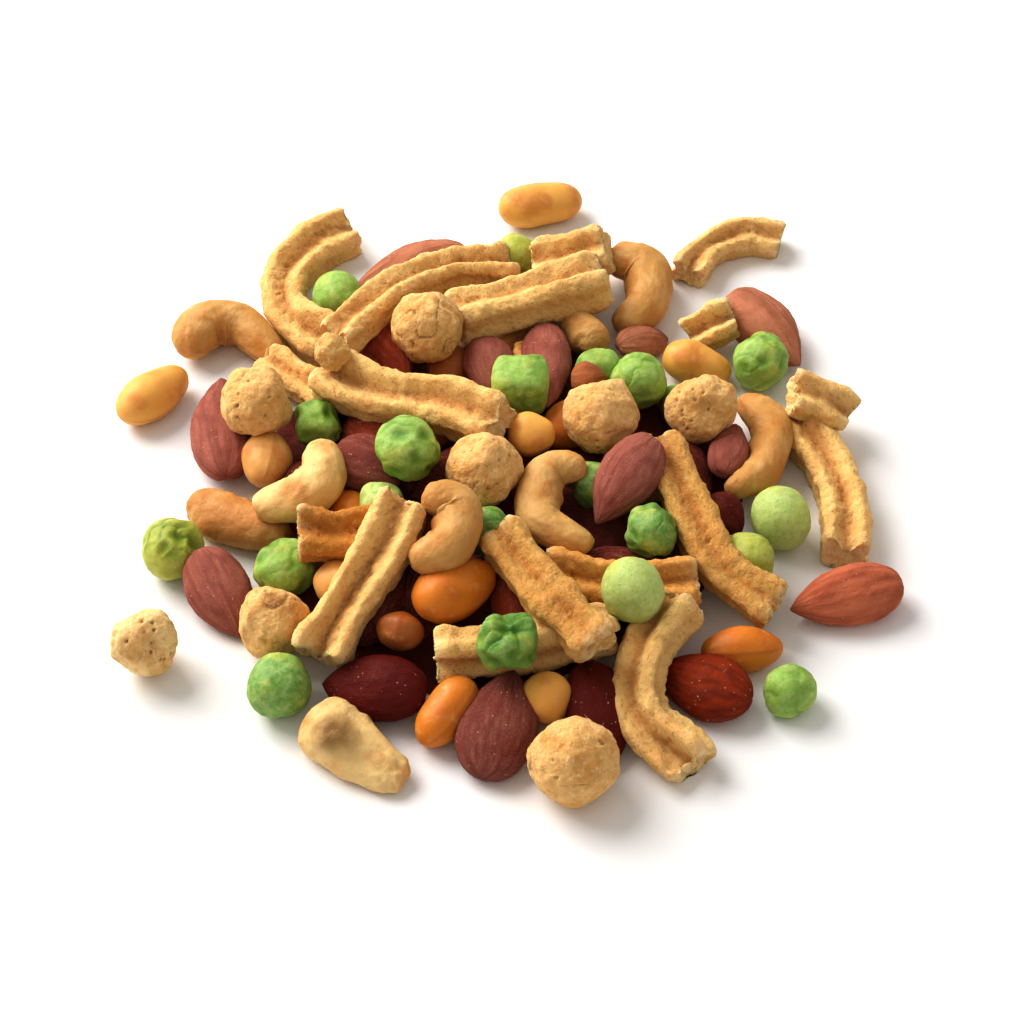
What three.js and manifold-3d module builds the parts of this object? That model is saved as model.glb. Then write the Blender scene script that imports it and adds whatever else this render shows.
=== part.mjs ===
// A loose, low heap of mixed nuts and savoury snack pieces: grooved baked sticks, coated peanuts,
// roasted green peas, almonds, cashews and shelled peanuts. It lies as it was poured out, on a flat
// surface, with no dish. The heap is one solid: a low core with the pieces that show fused on. The
// pieces that lie apart from it are solids of their own.
//
// Millimetres, +Z up. The origin is on the surface, under the middle of everything that lies on it.
// +X is to the right and +Y away from someone who looks at the heap from the front.

import * as THREE from "three";
import { mergeVertices } from "three/addons/utils/BufferGeometryUtils.js";
import Module from "manifold-3d";

const wasm = await Module();
wasm.setup();

// ---------------------------------------------------------------------------------------------
// Driving sizes, in mm
// ---------------------------------------------------------------------------------------------

// Across each kind of piece. Its length comes from where its ends lie.
const STICK = { width: 8.8, height: 7.4 };
const BALL = { width: 14.6, height: 14.6 };
const PEA = { width: 11, height: 11 };
const ALMOND = { width: 12.4, height: 8.4 };
const CASHEW = { width: 9.6, height: 9.6, slim: 0.75 }; // slim end, as a share of the fat end
const PEANUT = { width: 9.4, height: 8.6 };

// A round outline with few sides is this much larger, so that it holds as much as the true one.
const FACETED = 1.04;

const STICK_GROOVE = 1.7; // how deep the channel along a stick's top and bottom is
const STICK_SIDE_HOLLOW = 0.5; // and the shallow one along its sides
const BALL_FLAT = 0.6; // how flat a coated peanut's flatter sides are
const PEA_PUCKER = 0.5; // how deep a dried pea's wrinkles are

// The core under the pieces: a flat-bottomed dome with an uneven rim.
const CORE = { height: 9.5, reach: 56, unevenness: 2.5, falloff: 2.4, centre: { x: 3, y: -8.8 } };

// How far neighbours settle into each other, as a share of the distance between their middles.
const NESTING = 0.8;
// How far a piece sinks into the surface before its underside is cut flat there.
const FOOT = 0.4;

// ---------------------------------------------------------------------------------------------
// Where someone sees the heap from
// ---------------------------------------------------------------------------------------------

// Each piece is placed on a line of sight: a place in a square picture, taken from in front and above.
const PICTURE = 1024; // the picture's width and height, in its own dots
const VIEW = {
  elevation: THREE.MathUtils.degToRad(48),
  distance: 520,
  lens: 95 / 36, // focal length over the width that the picture covers on the sensor
  target: new THREE.Vector3(2.8, -15.5, 8),
};
const INTO_VIEW = new THREE.Vector3(0, Math.cos(VIEW.elevation), -Math.sin(VIEW.elevation));
const UP_VIEW = new THREE.Vector3(0, Math.sin(VIEW.elevation), Math.cos(VIEW.elevation));
const EYE = VIEW.target.clone().addScaledVector(INTO_VIEW, -VIEW.distance);
// A piece's own upper side faces between straight up and the eye.
const FACING_UP = new THREE.Vector3(0, 0, 1).sub(INTO_VIEW).normalize();

// The point at a height on the line of sight through a place in the picture.
function onSightLine([across, down], height) {
  const scale = PICTURE * VIEW.lens;
  const ray = INTO_VIEW.clone()
    .addScaledVector(new THREE.Vector3(1, 0, 0), (across - PICTURE / 2) / scale)
    .addScaledVector(UP_VIEW, -(down - PICTURE / 2) / scale);
  return EYE.clone().addScaledVector(ray, (height - EYE.z) / ray.z);
}

// ---------------------------------------------------------------------------------------------
// The pieces, from the lowest to the topmost
// ---------------------------------------------------------------------------------------------

// A row is a kind of piece, the places in the picture that its middle line runs through, from end to
// end, and what is its own: width and height in mm, turn in degrees round its middle line, and the
// name of its solid where it lies apart from the heap.
const PIECES = [
  // Lying apart on the surface
  ["peanut", [[122, 416], [182, 374]], { width: 9.8, apart: "peanut_left" }],
  ["peanut", [[500, 210], [580, 199]], { width: 9.8, apart: "peanut_back" }],
  ["stick", [[687, 275], [710, 249], [744, 237], [781, 241]],
    { width: 7, height: 6.4, apart: "stick_back_right" }],
  ["almond", [[902, 583], [790, 610]], { apart: "almond_right" }],
  ["pea", [[790, 690]], { width: 9.2, apart: "pea_right" }],
  ["ball", [[143, 643]], { width: 12, height: 14.1, apart: "ball_left" }],
  ["pea", [[278, 687]], { width: 11.6, apart: "pea_front_left" }],
  ["cashew", [[312, 712], [344, 742], [404, 784]],
    { width: 14.4, height: 9.6, slim: 0.5, apart: "cashew_front" }],

  // Lowest, from the back to the front
  ["pea", [[517, 256]], { width: 9 }],
  ["cashew", [[610, 256], [645, 270], [646, 306], [616, 328]], { width: 11.4 }],
  ["almond", [[468, 254], [353, 291]], {}],
  ["almond", [[484, 318], [574, 292]], {}],
  ["stick", [[352, 230], [311, 250], [285, 283], [291, 318], [334, 346]], { width: 9.6 }],
  ["cashew", [[184, 350], [206, 327], [242, 326], [278, 359]], { width: 11.2 }],
  ["almond", [[732, 294], [800, 366]], {}],
  ["stick", [[690, 338], [734, 316]], { width: 7.6 }],
  ["cashew", [[566, 322], [590, 336], [600, 348]], { width: 9 }],
  ["almond", [[362, 330], [408, 378]], {}],
  ["almond", [[618, 346], [668, 338]], { width: 8 }],
  ["peanut", [[664, 354], [728, 374]], { width: 9 }],
  ["pea", [[338, 299]], { width: 10.8 }],
  ["almond", [[487, 340], [490, 394]], { width: 10 }],
  ["almond", [[546, 326], [546, 408]], { width: 10.4 }],
  ["pea", [[598, 370]], { width: 9 }],
  ["almond", [[572, 384], [606, 376]], { width: 8 }],
  ["stick", [[264, 360], [336, 402]], { width: 7.2, height: 6.2 }],
  ["stick", [[790, 414], [826, 462], [844, 508], [846, 556]], { width: 9 }],
  ["stick", [[793, 392], [820, 402], [848, 417]], { width: 8.4 }],
  ["almond", [[226, 477], [221, 378]], { width: 12.8 }],
  ["peanut", [[262, 484], [270, 436]], { width: 9.8 }],
  ["almond", [[338, 448], [400, 484]], {}],
  ["peanut", [[508, 434], [554, 434]], { width: 8.8 }],
  ["almond", [[722, 474], [736, 424]], { width: 8 }],
  ["pea", [[317, 424]], { width: 9 }],
  ["pea", [[382, 505]], { width: 9 }],
  ["cashew", [[194, 502], [236, 523], [288, 536]], { width: 11.4, height: 10 }],
  ["pea", [[484, 530]], { width: 9 }],
  ["almond", [[705, 500], [742, 532]], { width: 9 }],
  ["pea", [[650, 532]], { width: 9.6 }],
  ["pea", [[780, 518]], { width: 11.6 }],
  ["pea", [[750, 558]], { width: 10 }],
  ["pea", [[173, 549]], { width: 11.2 }],
  ["pea", [[285, 567]], { width: 11.6, height: 9.6 }],
  ["peanut", [[334, 604], [344, 562]], { width: 9 }],
  ["stick", [[540, 573], [615, 586], [698, 584]], {}],
  ["almond", [[199, 550], [242, 638]], { width: 12.2 }],
  ["ball", [[275, 622]], { width: 14.2 }],
  ["peanut", [[396, 648], [404, 616]], { width: 9 }],
  ["peanut", [[702, 652], [780, 648]], { width: 8.6 }],
  ["almond", [[426, 692], [322, 684]], {}],
  ["peanut", [[547, 672], [548, 722]], { width: 9 }],
  ["almond", [[590, 664], [606, 768]], {}],
  ["peanut", [[470, 680], [424, 742]], { width: 9 }],
  ["stick", [[436, 656], [520, 646], [612, 628]], { width: 9, turn: 60 }],
  ["ball", [[575, 761]], { width: 15.8 }],

  // The middle of the heap
  ["pea", [[520, 385]], { width: 11 }],
  ["pea", [[637, 382]], { width: 11.2 }],
  ["ball", [[255, 403]], { width: 14.4 }],
  ["pea", [[407, 448]], { width: 12, height: 10.4 }],
  ["cashew", [[744, 400], [772, 430], [764, 470], [728, 492]], { width: 9.2 }],
  ["ball", [[603, 415]], { width: 14.8 }],
  ["ball", [[703, 408]], { width: 14 }],
  ["pea", [[760, 362]], { width: 11.4 }],
  ["stick", [[322, 370], [380, 396], [440, 404], [501, 425]], { width: 10.2 }],
  ["cashew", [[318, 446], [323, 476], [298, 498], [254, 508]], { width: 9.8, slim: 1 }],
  ["stick", [[298, 532], [345, 537], [404, 528]], { width: 9.2 }],
  ["ball", [[486, 471]], { width: 14.8 }],
  ["stick", [[660, 442], [690, 510], [722, 568], [776, 608]], { width: 8.6 }],

  // On top
  ["stick", [[334, 342], [392, 294], [448, 270], [510, 268]], { width: 8.4, turn: -20 }],
  ["stick", [[532, 266], [608, 248]], { width: 9.2 }],
  ["stick", [[452, 322], [528, 300], [604, 278]], { width: 11, turn: -30 }],
  ["ball", [[333, 352]], { width: 7.6 }],
  ["ball", [[428, 327]], { width: 14.8 }],
  ["almond", [[654, 438], [596, 524]], { width: 11.4 }],
  ["stick", [[404, 500], [383, 550], [350, 602], [318, 656]], { width: 9.6 }],
  ["peanut", [[416, 608], [490, 572]], { width: 11 }],
  ["cashew", [[422, 496], [457, 506], [450, 546], [408, 563]], { width: 9.2 }],
  ["cashew", [[584, 464], [546, 476], [540, 520], [592, 546]], { width: 9 }],
  ["stick", [[500, 536], [545, 592], [598, 646]], { width: 8.8 }],
  ["almond", [[484, 778], [514, 670]], {}],
  ["pea", [[509, 641]], { width: 10.8 }],
  ["almond", [[750, 702], [656, 667]], {}],
  ["stick", [[680, 600], [646, 652], [642, 712], [696, 766]], { width: 9, turn: 30 }],
  ["pea", [[632, 590]], { width: 11.6 }],
];

// ---------------------------------------------------------------------------------------------
// How the pieces come to rest
// ---------------------------------------------------------------------------------------------

const START = 60; // the height that a piece is lowered from
const COARSE = 2; // the first step down
const FINE = 0.25; // and the last
// How the heights of a piece's two ends change in one move. Each move lowers the two taken together.
const MOVES = [[-1, -1], [-1, 0], [0, -1], [-1, 0.5], [0.5, -1], [-1, 0.8], [0.8, -1]];
const STEEPEST = 0.45; // how far an end may lie above the other, for each mm between them
const BEADS = 9; // how many round beads stand for a long piece while it comes to rest

// How thick each kind is along its middle line, from 0 at one end to 1 at the other, as a share of
// its full thickness.
const PROFILES = {
  stick: () => 1,
  ball: () => 1,
  pea: () => 1,
  // a point at one end and a blunt base at the other
  almond: (along) => Math.sin(Math.PI * Math.pow(along, 0.8)) ** 0.62,
  cashew: (along, { slim }) => roundEnds(along, 0.3) * THREE.MathUtils.lerp(1, slim, along),
  peanut: (along) => roundEnds(along, 0.42),
};

// 0 at both ends and 1 in the middle. The lower the power, the blunter the ends.
function roundEnds(along, power) {
  return Math.max(0, 1 - (2 * along - 1) ** 2) ** power;
}

// The height of the core's surface over a place on the ground.
function coreHeight(x, y) {
  const dx = x - CORE.centre.x;
  const dy = y - CORE.centre.y;
  const reach = coreReach(Math.atan2(dy, dx));
  const share = Math.hypot(dx, dy) / reach;
  return share < 1 ? CORE.height * (1 - share ** CORE.falloff) : 0;
}

// How far the core's rim is from its middle, in a direction.
function coreReach(angle) {
  return CORE.reach + CORE.unevenness * (Math.sin(3 * angle + 1) + 0.5 * Math.sin(7 * angle));
}

// The middle line of a piece whose two ends are at these heights.
function middleLine(places, startHeight, endHeight) {
  const lengths = [0];
  for (let i = 1; i < places.length; i++) {
    const step = Math.hypot(places[i][0] - places[i - 1][0], places[i][1] - places[i - 1][1]);
    lengths.push(lengths[i - 1] + step);
  }
  const whole = lengths[lengths.length - 1] || 1;
  const points = places.map((place, i) =>
    onSightLine(place, THREE.MathUtils.lerp(startHeight, endHeight, lengths[i] / whole)),
  );
  return new THREE.CatmullRomCurve3(points, false, "catmullrom", 0.5);
}

// The beads that stand for a piece: where each is, how near others may come and how low it may lie.
function beadsOf(piece, startHeight, endHeight) {
  if (piece.places.length === 1) {
    const middle = onSightLine(piece.places[0], startHeight);
    return [{ at: middle, reach: (piece.width + piece.height) / 4, depth: piece.height / 2 }];
  }
  const line = middleLine(piece.places, startHeight, endHeight);
  const beads = [];
  for (let i = 0; i < BEADS; i++) {
    const along = (i + 0.5) / BEADS;
    const share = PROFILES[piece.kind](along, piece);
    beads.push({
      at: line.getPoint(along),
      reach: (share * (piece.width + piece.height)) / 4,
      depth: (share * piece.height) / 2,
    });
  }
  return beads;
}

// Whether a bead lies clear of the surface, the core and everything that already lies there.
function isClear(bead, lying) {
  if (bead.at.z < bead.depth - FOOT) return false;
  if (bead.at.z < coreHeight(bead.at.x, bead.at.y) + bead.depth * NESTING) return false;
  return lying.every((other) => bead.at.distanceTo(other.at) >= NESTING * (bead.reach + other.reach));
}

// Lowers a piece along its lines of sight until neither end can come down any further.
function settle(piece, lying) {
  let heights = [START, START];
  const fits = ([a, b]) => {
    const beads = beadsOf(piece, a, b);
    const apart = beads[0].at.distanceTo(beads[beads.length - 1].at);
    return Math.abs(a - b) <= STEEPEST * apart && beads.every((bead) => isClear(bead, lying));
  };
  const moves = piece.places.length === 1 ? [[-1, -1]] : MOVES;
  for (let step = COARSE; step >= FINE; step /= 2) {
    for (;;) {
      const lower = moves.map(([a, b]) => [heights[0] + a * step, heights[1] + b * step]);
      const next = lower.find(fits);
      if (!next) break;
      heights = next;
    }
  }
  return heights;
}

const SIZES = { stick: STICK, ball: BALL, pea: PEA, almond: ALMOND, cashew: CASHEW, peanut: PEANUT };

function settleAll() {
  const lying = [];
  return PIECES.map(([kind, places, own], number) => {
    const piece = { kind, places, number, turn: 0, ...SIZES[kind], ...own };
    if (own.width && !own.height) piece.height = (own.width * SIZES[kind].height) / SIZES[kind].width;
    const heights = settle(piece, lying);
    lying.push(...beadsOf(piece, ...heights));
    return { ...piece, heights };
  });
}

// ---------------------------------------------------------------------------------------------
// Shapes
// ---------------------------------------------------------------------------------------------

// A smooth, uneven number between about -1 and 1 for a direction, different for each piece.
function unevenness(direction, number) {
  const { x, y, z } = direction;
  return (
    Math.sin(2.3 * x + 1.7 * y + number) * 0.5 +
    Math.sin(3.1 * y - 2.2 * z + 2 * number) * 0.3 +
    Math.sin(4.7 * z + 3.9 * x + 3 * number) * 0.2
  );
}

// Moves every vertex of a geometry by a rule.
function reshaped(geometry, rule) {
  const position = geometry.attributes.position;
  const vertex = new THREE.Vector3();
  for (let i = 0; i < position.count; i++) {
    vertex.fromBufferAttribute(position, i);
    position.setXYZ(i, ...rule(vertex));
  }
  return geometry;
}

// The three directions of a piece at a point of its middle line: along it, across it and up.
function directionsAt(line, along, turn) {
  const forward = line.getTangent(along);
  const across = forward.clone().cross(FACING_UP).normalize();
  const up = across.clone().cross(forward);
  across.applyAxisAngle(forward, THREE.MathUtils.degToRad(turn));
  up.applyAxisAngle(forward, THREE.MathUtils.degToRad(turn));
  return { forward, across, up };
}

// Lays an upright geometry, 1 high, along a piece's middle line. The rule gives a vertex's place
// across and up from that line.
function laidAlong(piece, geometry, rule) {
  const line = middleLine(piece.places, ...piece.heights);
  return reshaped(geometry, (vertex) => {
    const along = THREE.MathUtils.clamp(vertex.y + 0.5, 0, 1);
    const { across, up } = directionsAt(line, along, piece.turn);
    const [sideways, upwards] = rule(vertex, along);
    return line.getPoint(along).addScaledVector(across, sideways).addScaledVector(up, upwards);
  });
}

// A baked stick: a blunt bar with a channel along its top and bottom and shallow hollows along its
// sides, so that its cut ends show four lobes.
function stickShape(piece) {
  const places = [
    [0, 1 - (2 * STICK_GROOVE) / piece.height],
    [0.6, 1],
    [1, 0.62],
    [1 - (2 * STICK_SIDE_HOLLOW) / piece.width, 0],
    [1, -0.62],
    [0.6, -1],
    [0, (2 * STICK_GROOVE) / piece.height - 1],
  ];
  const outline = [...places, ...places.slice(1, -1).reverse().map(([x, y]) => [-x, y])];
  const steps = piece.places.length + 1;
  const bar = new THREE.CylinderGeometry(1, 1, 1, outline.length, steps);
  return laidAlong(piece, bar, (vertex, along) => {
    if (Math.hypot(vertex.x, vertex.z) < 0.5) return [0, 0];
    const angle = Math.atan2(vertex.x, vertex.z);
    const corner = (Math.round((angle / (2 * Math.PI)) * outline.length) + outline.length) % outline.length;
    const end = along < 0.01 || along > 0.99 ? 0.9 : 1;
    const share = end * (1 + 0.06 * Math.sin(9 * along + piece.number));
    return [(outline[corner][0] * piece.width * share) / 2, (outline[corner][1] * piece.height * share) / 2];
  });
}

// A nut drawn out along its middle line: round across, and as thick along it as its kind's profile.
function nutShape(piece) {
  const steps = 4 + piece.places.length;
  const round = new THREE.SphereGeometry(0.5, 8, steps);
  return laidAlong(piece, round, (vertex, along) => {
    const radius = Math.hypot(vertex.x, vertex.z);
    if (radius < 1e-6) return [0, 0];
    const share = PROFILES[piece.kind](along, piece);
    const scale = (share * FACETED) / radius / 2;
    return [vertex.x * scale * piece.width, vertex.z * scale * piece.height];
  });
}

// A coated peanut: a ball with rough, slightly flat sides.
function ballShape(piece) {
  return roundShape(piece, (2 * BALL_FLAT) / piece.width);
}

// A roasted pea: a ball with shallow puckers.
function peaShape(piece) {
  return roundShape(piece, (2 * PEA_PUCKER) / piece.width);
}

function roundShape(piece, depth) {
  const middle = onSightLine(piece.places[0], piece.heights[0]);
  const round = new THREE.IcosahedronGeometry(1, 1);
  const size = new THREE.Vector3(piece.width, piece.width, piece.height).multiplyScalar(FACETED / 2);
  return reshaped(round, (vertex) => {
    const share = 1 + depth * unevenness(vertex, piece.number);
    return vertex.clone().multiply(size).multiplyScalar(share).add(middle);
  });
}

// The low core: a flat-bottomed dome with an uneven rim.
function coreShape() {
  const rings = 4;
  const profile = [new THREE.Vector2(0, 0)];
  for (let ring = 0; ring <= rings; ring++) {
    const share = 1 - ring / rings;
    profile.push(new THREE.Vector2(share, 1 - share ** CORE.falloff));
  }
  const dome = new THREE.LatheGeometry(profile, 24);
  return reshaped(dome, (vertex) => {
    const angle = Math.atan2(-vertex.z, vertex.x);
    const reach = Math.hypot(vertex.x, vertex.z) * coreReach(angle);
    return new THREE.Vector3(
      CORE.centre.x + reach * Math.cos(angle),
      CORE.centre.y + reach * Math.sin(angle),
      vertex.y * CORE.height,
    );
  });
}

const SHAPES = {
  stick: stickShape,
  ball: ballShape,
  pea: peaShape,
  almond: nutShape,
  cashew: nutShape,
  peanut: nutShape,
};

// ---------------------------------------------------------------------------------------------
// Joining
// ---------------------------------------------------------------------------------------------

function asSolid(geometry) {
  const bare = geometry.index ? geometry.clone() : geometry;
  bare.deleteAttribute("normal");
  bare.deleteAttribute("uv");
  const merged = mergeVertices(bare, 1e-4);
  return new wasm.Manifold(
    new wasm.Mesh({
      numProp: 3,
      vertProperties: new Float32Array(merged.attributes.position.array),
      triVerts: new Uint32Array(merged.index.array),
    }),
  );
}

function asGeometry(solid) {
  const mesh = solid.getMesh();
  const geometry = new THREE.BufferGeometry();
  geometry.setAttribute("position", new THREE.BufferAttribute(mesh.vertProperties, 3));
  geometry.setIndex(new THREE.BufferAttribute(mesh.triVerts, 1));
  geometry.computeVertexNormals();
  return geometry;
}

// Everything above the surface that the pieces lie on.
function aboveSurface() {
  const size = 400;
  return asSolid(new THREE.BoxGeometry(size, size, size).translate(0, 0, size / 2));
}

// The largest body of a solid, without sealed hollows or loose scraps.
function mainBody(solid) {
  return solid.decompose().reduce((largest, body) => (body.volume() > largest.volume() ? body : largest));
}

// ---------------------------------------------------------------------------------------------
// The model
// ---------------------------------------------------------------------------------------------

const FINISHES = {
  heap: { color: "#cf9a55", roughness: 0.85 },
  stick: { color: "#dba761", roughness: 0.9 },
  ball: { color: "#d9ab62", roughness: 0.95 },
  pea: { color: "#6f9d45", roughness: 0.7 },
  almond: { color: "#8a4a36", roughness: 0.75 },
  cashew: { color: "#ddb070", roughness: 0.6 },
  peanut: { color: "#d0893f", roughness: 0.5 },
};

function namedMesh(name, solid, finish) {
  const mesh = new THREE.Mesh(asGeometry(solid), new THREE.MeshStandardMaterial(FINISHES[finish]));
  mesh.name = name;
  return mesh;
}

const group = new THREE.Group();
const above = aboveSurface();
const pieces = settleAll();
const solids = new Map(pieces.map((piece) => [piece, asSolid(SHAPES[piece.kind](piece))]));

let heap = asSolid(coreShape());
for (const piece of pieces.filter(({ apart }) => !apart)) heap = heap.add(solids.get(piece));
group.add(namedMesh("heap", mainBody(heap.intersect(above)), "heap"));
for (const piece of pieces.filter(({ apart }) => apart)) {
  group.add(namedMesh(piece.apart, mainBody(solids.get(piece).intersect(above)), piece.kind));
}

export default group;
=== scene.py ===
# %% [markdown]
# # A loose heap of mixed nuts and savoury snacks
#
# The subject is a low heap of small things: grooved baked sticks, coated peanuts, roasted green
# peas, almonds, cashews and shelled peanuts. This lesson builds each kind as one mesh, from numpy
# arrays, and gives each kind one procedural material.
#
# The CAD model comes first. It is a fixed frame: it says where the heap lies and how large it is.

# %% Load the frame
import itertools
import math

import bpy
import numpy as np
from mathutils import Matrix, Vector


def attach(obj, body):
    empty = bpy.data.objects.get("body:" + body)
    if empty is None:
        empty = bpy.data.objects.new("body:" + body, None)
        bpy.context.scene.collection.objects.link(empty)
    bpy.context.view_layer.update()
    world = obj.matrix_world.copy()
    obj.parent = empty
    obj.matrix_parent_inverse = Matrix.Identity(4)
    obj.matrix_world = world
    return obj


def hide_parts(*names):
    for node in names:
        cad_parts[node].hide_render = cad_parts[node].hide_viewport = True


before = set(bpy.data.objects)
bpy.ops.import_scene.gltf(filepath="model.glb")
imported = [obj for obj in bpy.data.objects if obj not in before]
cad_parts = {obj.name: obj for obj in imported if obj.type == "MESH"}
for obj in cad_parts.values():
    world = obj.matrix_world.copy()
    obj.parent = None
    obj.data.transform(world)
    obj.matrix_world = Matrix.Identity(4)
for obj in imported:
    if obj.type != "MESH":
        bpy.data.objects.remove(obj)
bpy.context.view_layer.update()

# %% [markdown]
# ## Where the eye is
#
# Each piece is placed on a line of sight, from the eye through a place in a square picture. So the
# view comes before the pieces. Sizes are worked out in millimetres, because nuts are that small,
# and turned into metres at the very end.

# %% The view
MM = 0.001
PICTURE = 1024  # the picture's width and height, in its own dots
ELEVATION = math.radians(48)
DISTANCE = 520
SENSOR, FOCAL_LENGTH = 36, 95
TARGET = np.array([2.8, -15.5, 8])
RIGHT = np.array([1.0, 0, 0])
INTO_VIEW = np.array([0, math.cos(ELEVATION), -math.sin(ELEVATION)])
UP_VIEW = np.array([0, math.sin(ELEVATION), math.cos(ELEVATION)])
EYE = TARGET - INTO_VIEW * DISTANCE
# A piece's own upper side faces between straight up and the eye.
FACING_UP = np.array([0, 0, 1]) - INTO_VIEW
FACING_UP /= np.linalg.norm(FACING_UP)


def sight_line(place):
    """A start and a slope: the point at a height on this line of sight is start + slope * height."""
    across, down = place
    dots = PICTURE * FOCAL_LENGTH / SENSOR
    ray = INTO_VIEW + RIGHT * (across - PICTURE / 2) / dots - UP_VIEW * (down - PICTURE / 2) / dots
    slope = ray / ray[2]
    return EYE - slope * EYE[2], slope


print("The eye is at", EYE.round(1), "mm")

# %% [markdown]
# ## The pieces
#
# One row is one piece: its kind, the places in the picture that its middle line runs through, and
# what is its own. Sizes are in millimetres and `turn` is in degrees. The rows run from the lowest
# piece to the topmost, because each one comes to rest on those before it.
#
# The finish is its own as well. Real peas differ in how far they have shrivelled, and almonds in how
# dark their skin is. `tone` names a colour from the list of that kind further down. `wrinkle`,
# `groove`, `facets` and `gloss` say how strongly the piece has that mark, and `boxy` how square a pea
# is. `slim` is how thick a cashew's thin end is, `hollow` how deep one is hollowed, and `broad` makes
# an almond wider.

# %% The table of pieces
KINDS = {
    "stick": dict(width=8.8, height=7.4, tone="golden", groove=1.0),
    "ball": dict(width=14.6, height=14.6, tone="crumb", facets=0.8),
    "pea": dict(width=11, height=11, tone="bright", wrinkle=0.6, boxy=0.15),
    "almond": dict(width=12.4, height=8.4, tone="dusty", gloss=0.0, broad=1.0),
    "cashew": dict(width=9.6, height=9.6, slim=0.75, tone="tan"),
    "peanut": dict(width=9.4, height=8.6, tone="roasted"),
}

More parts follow.
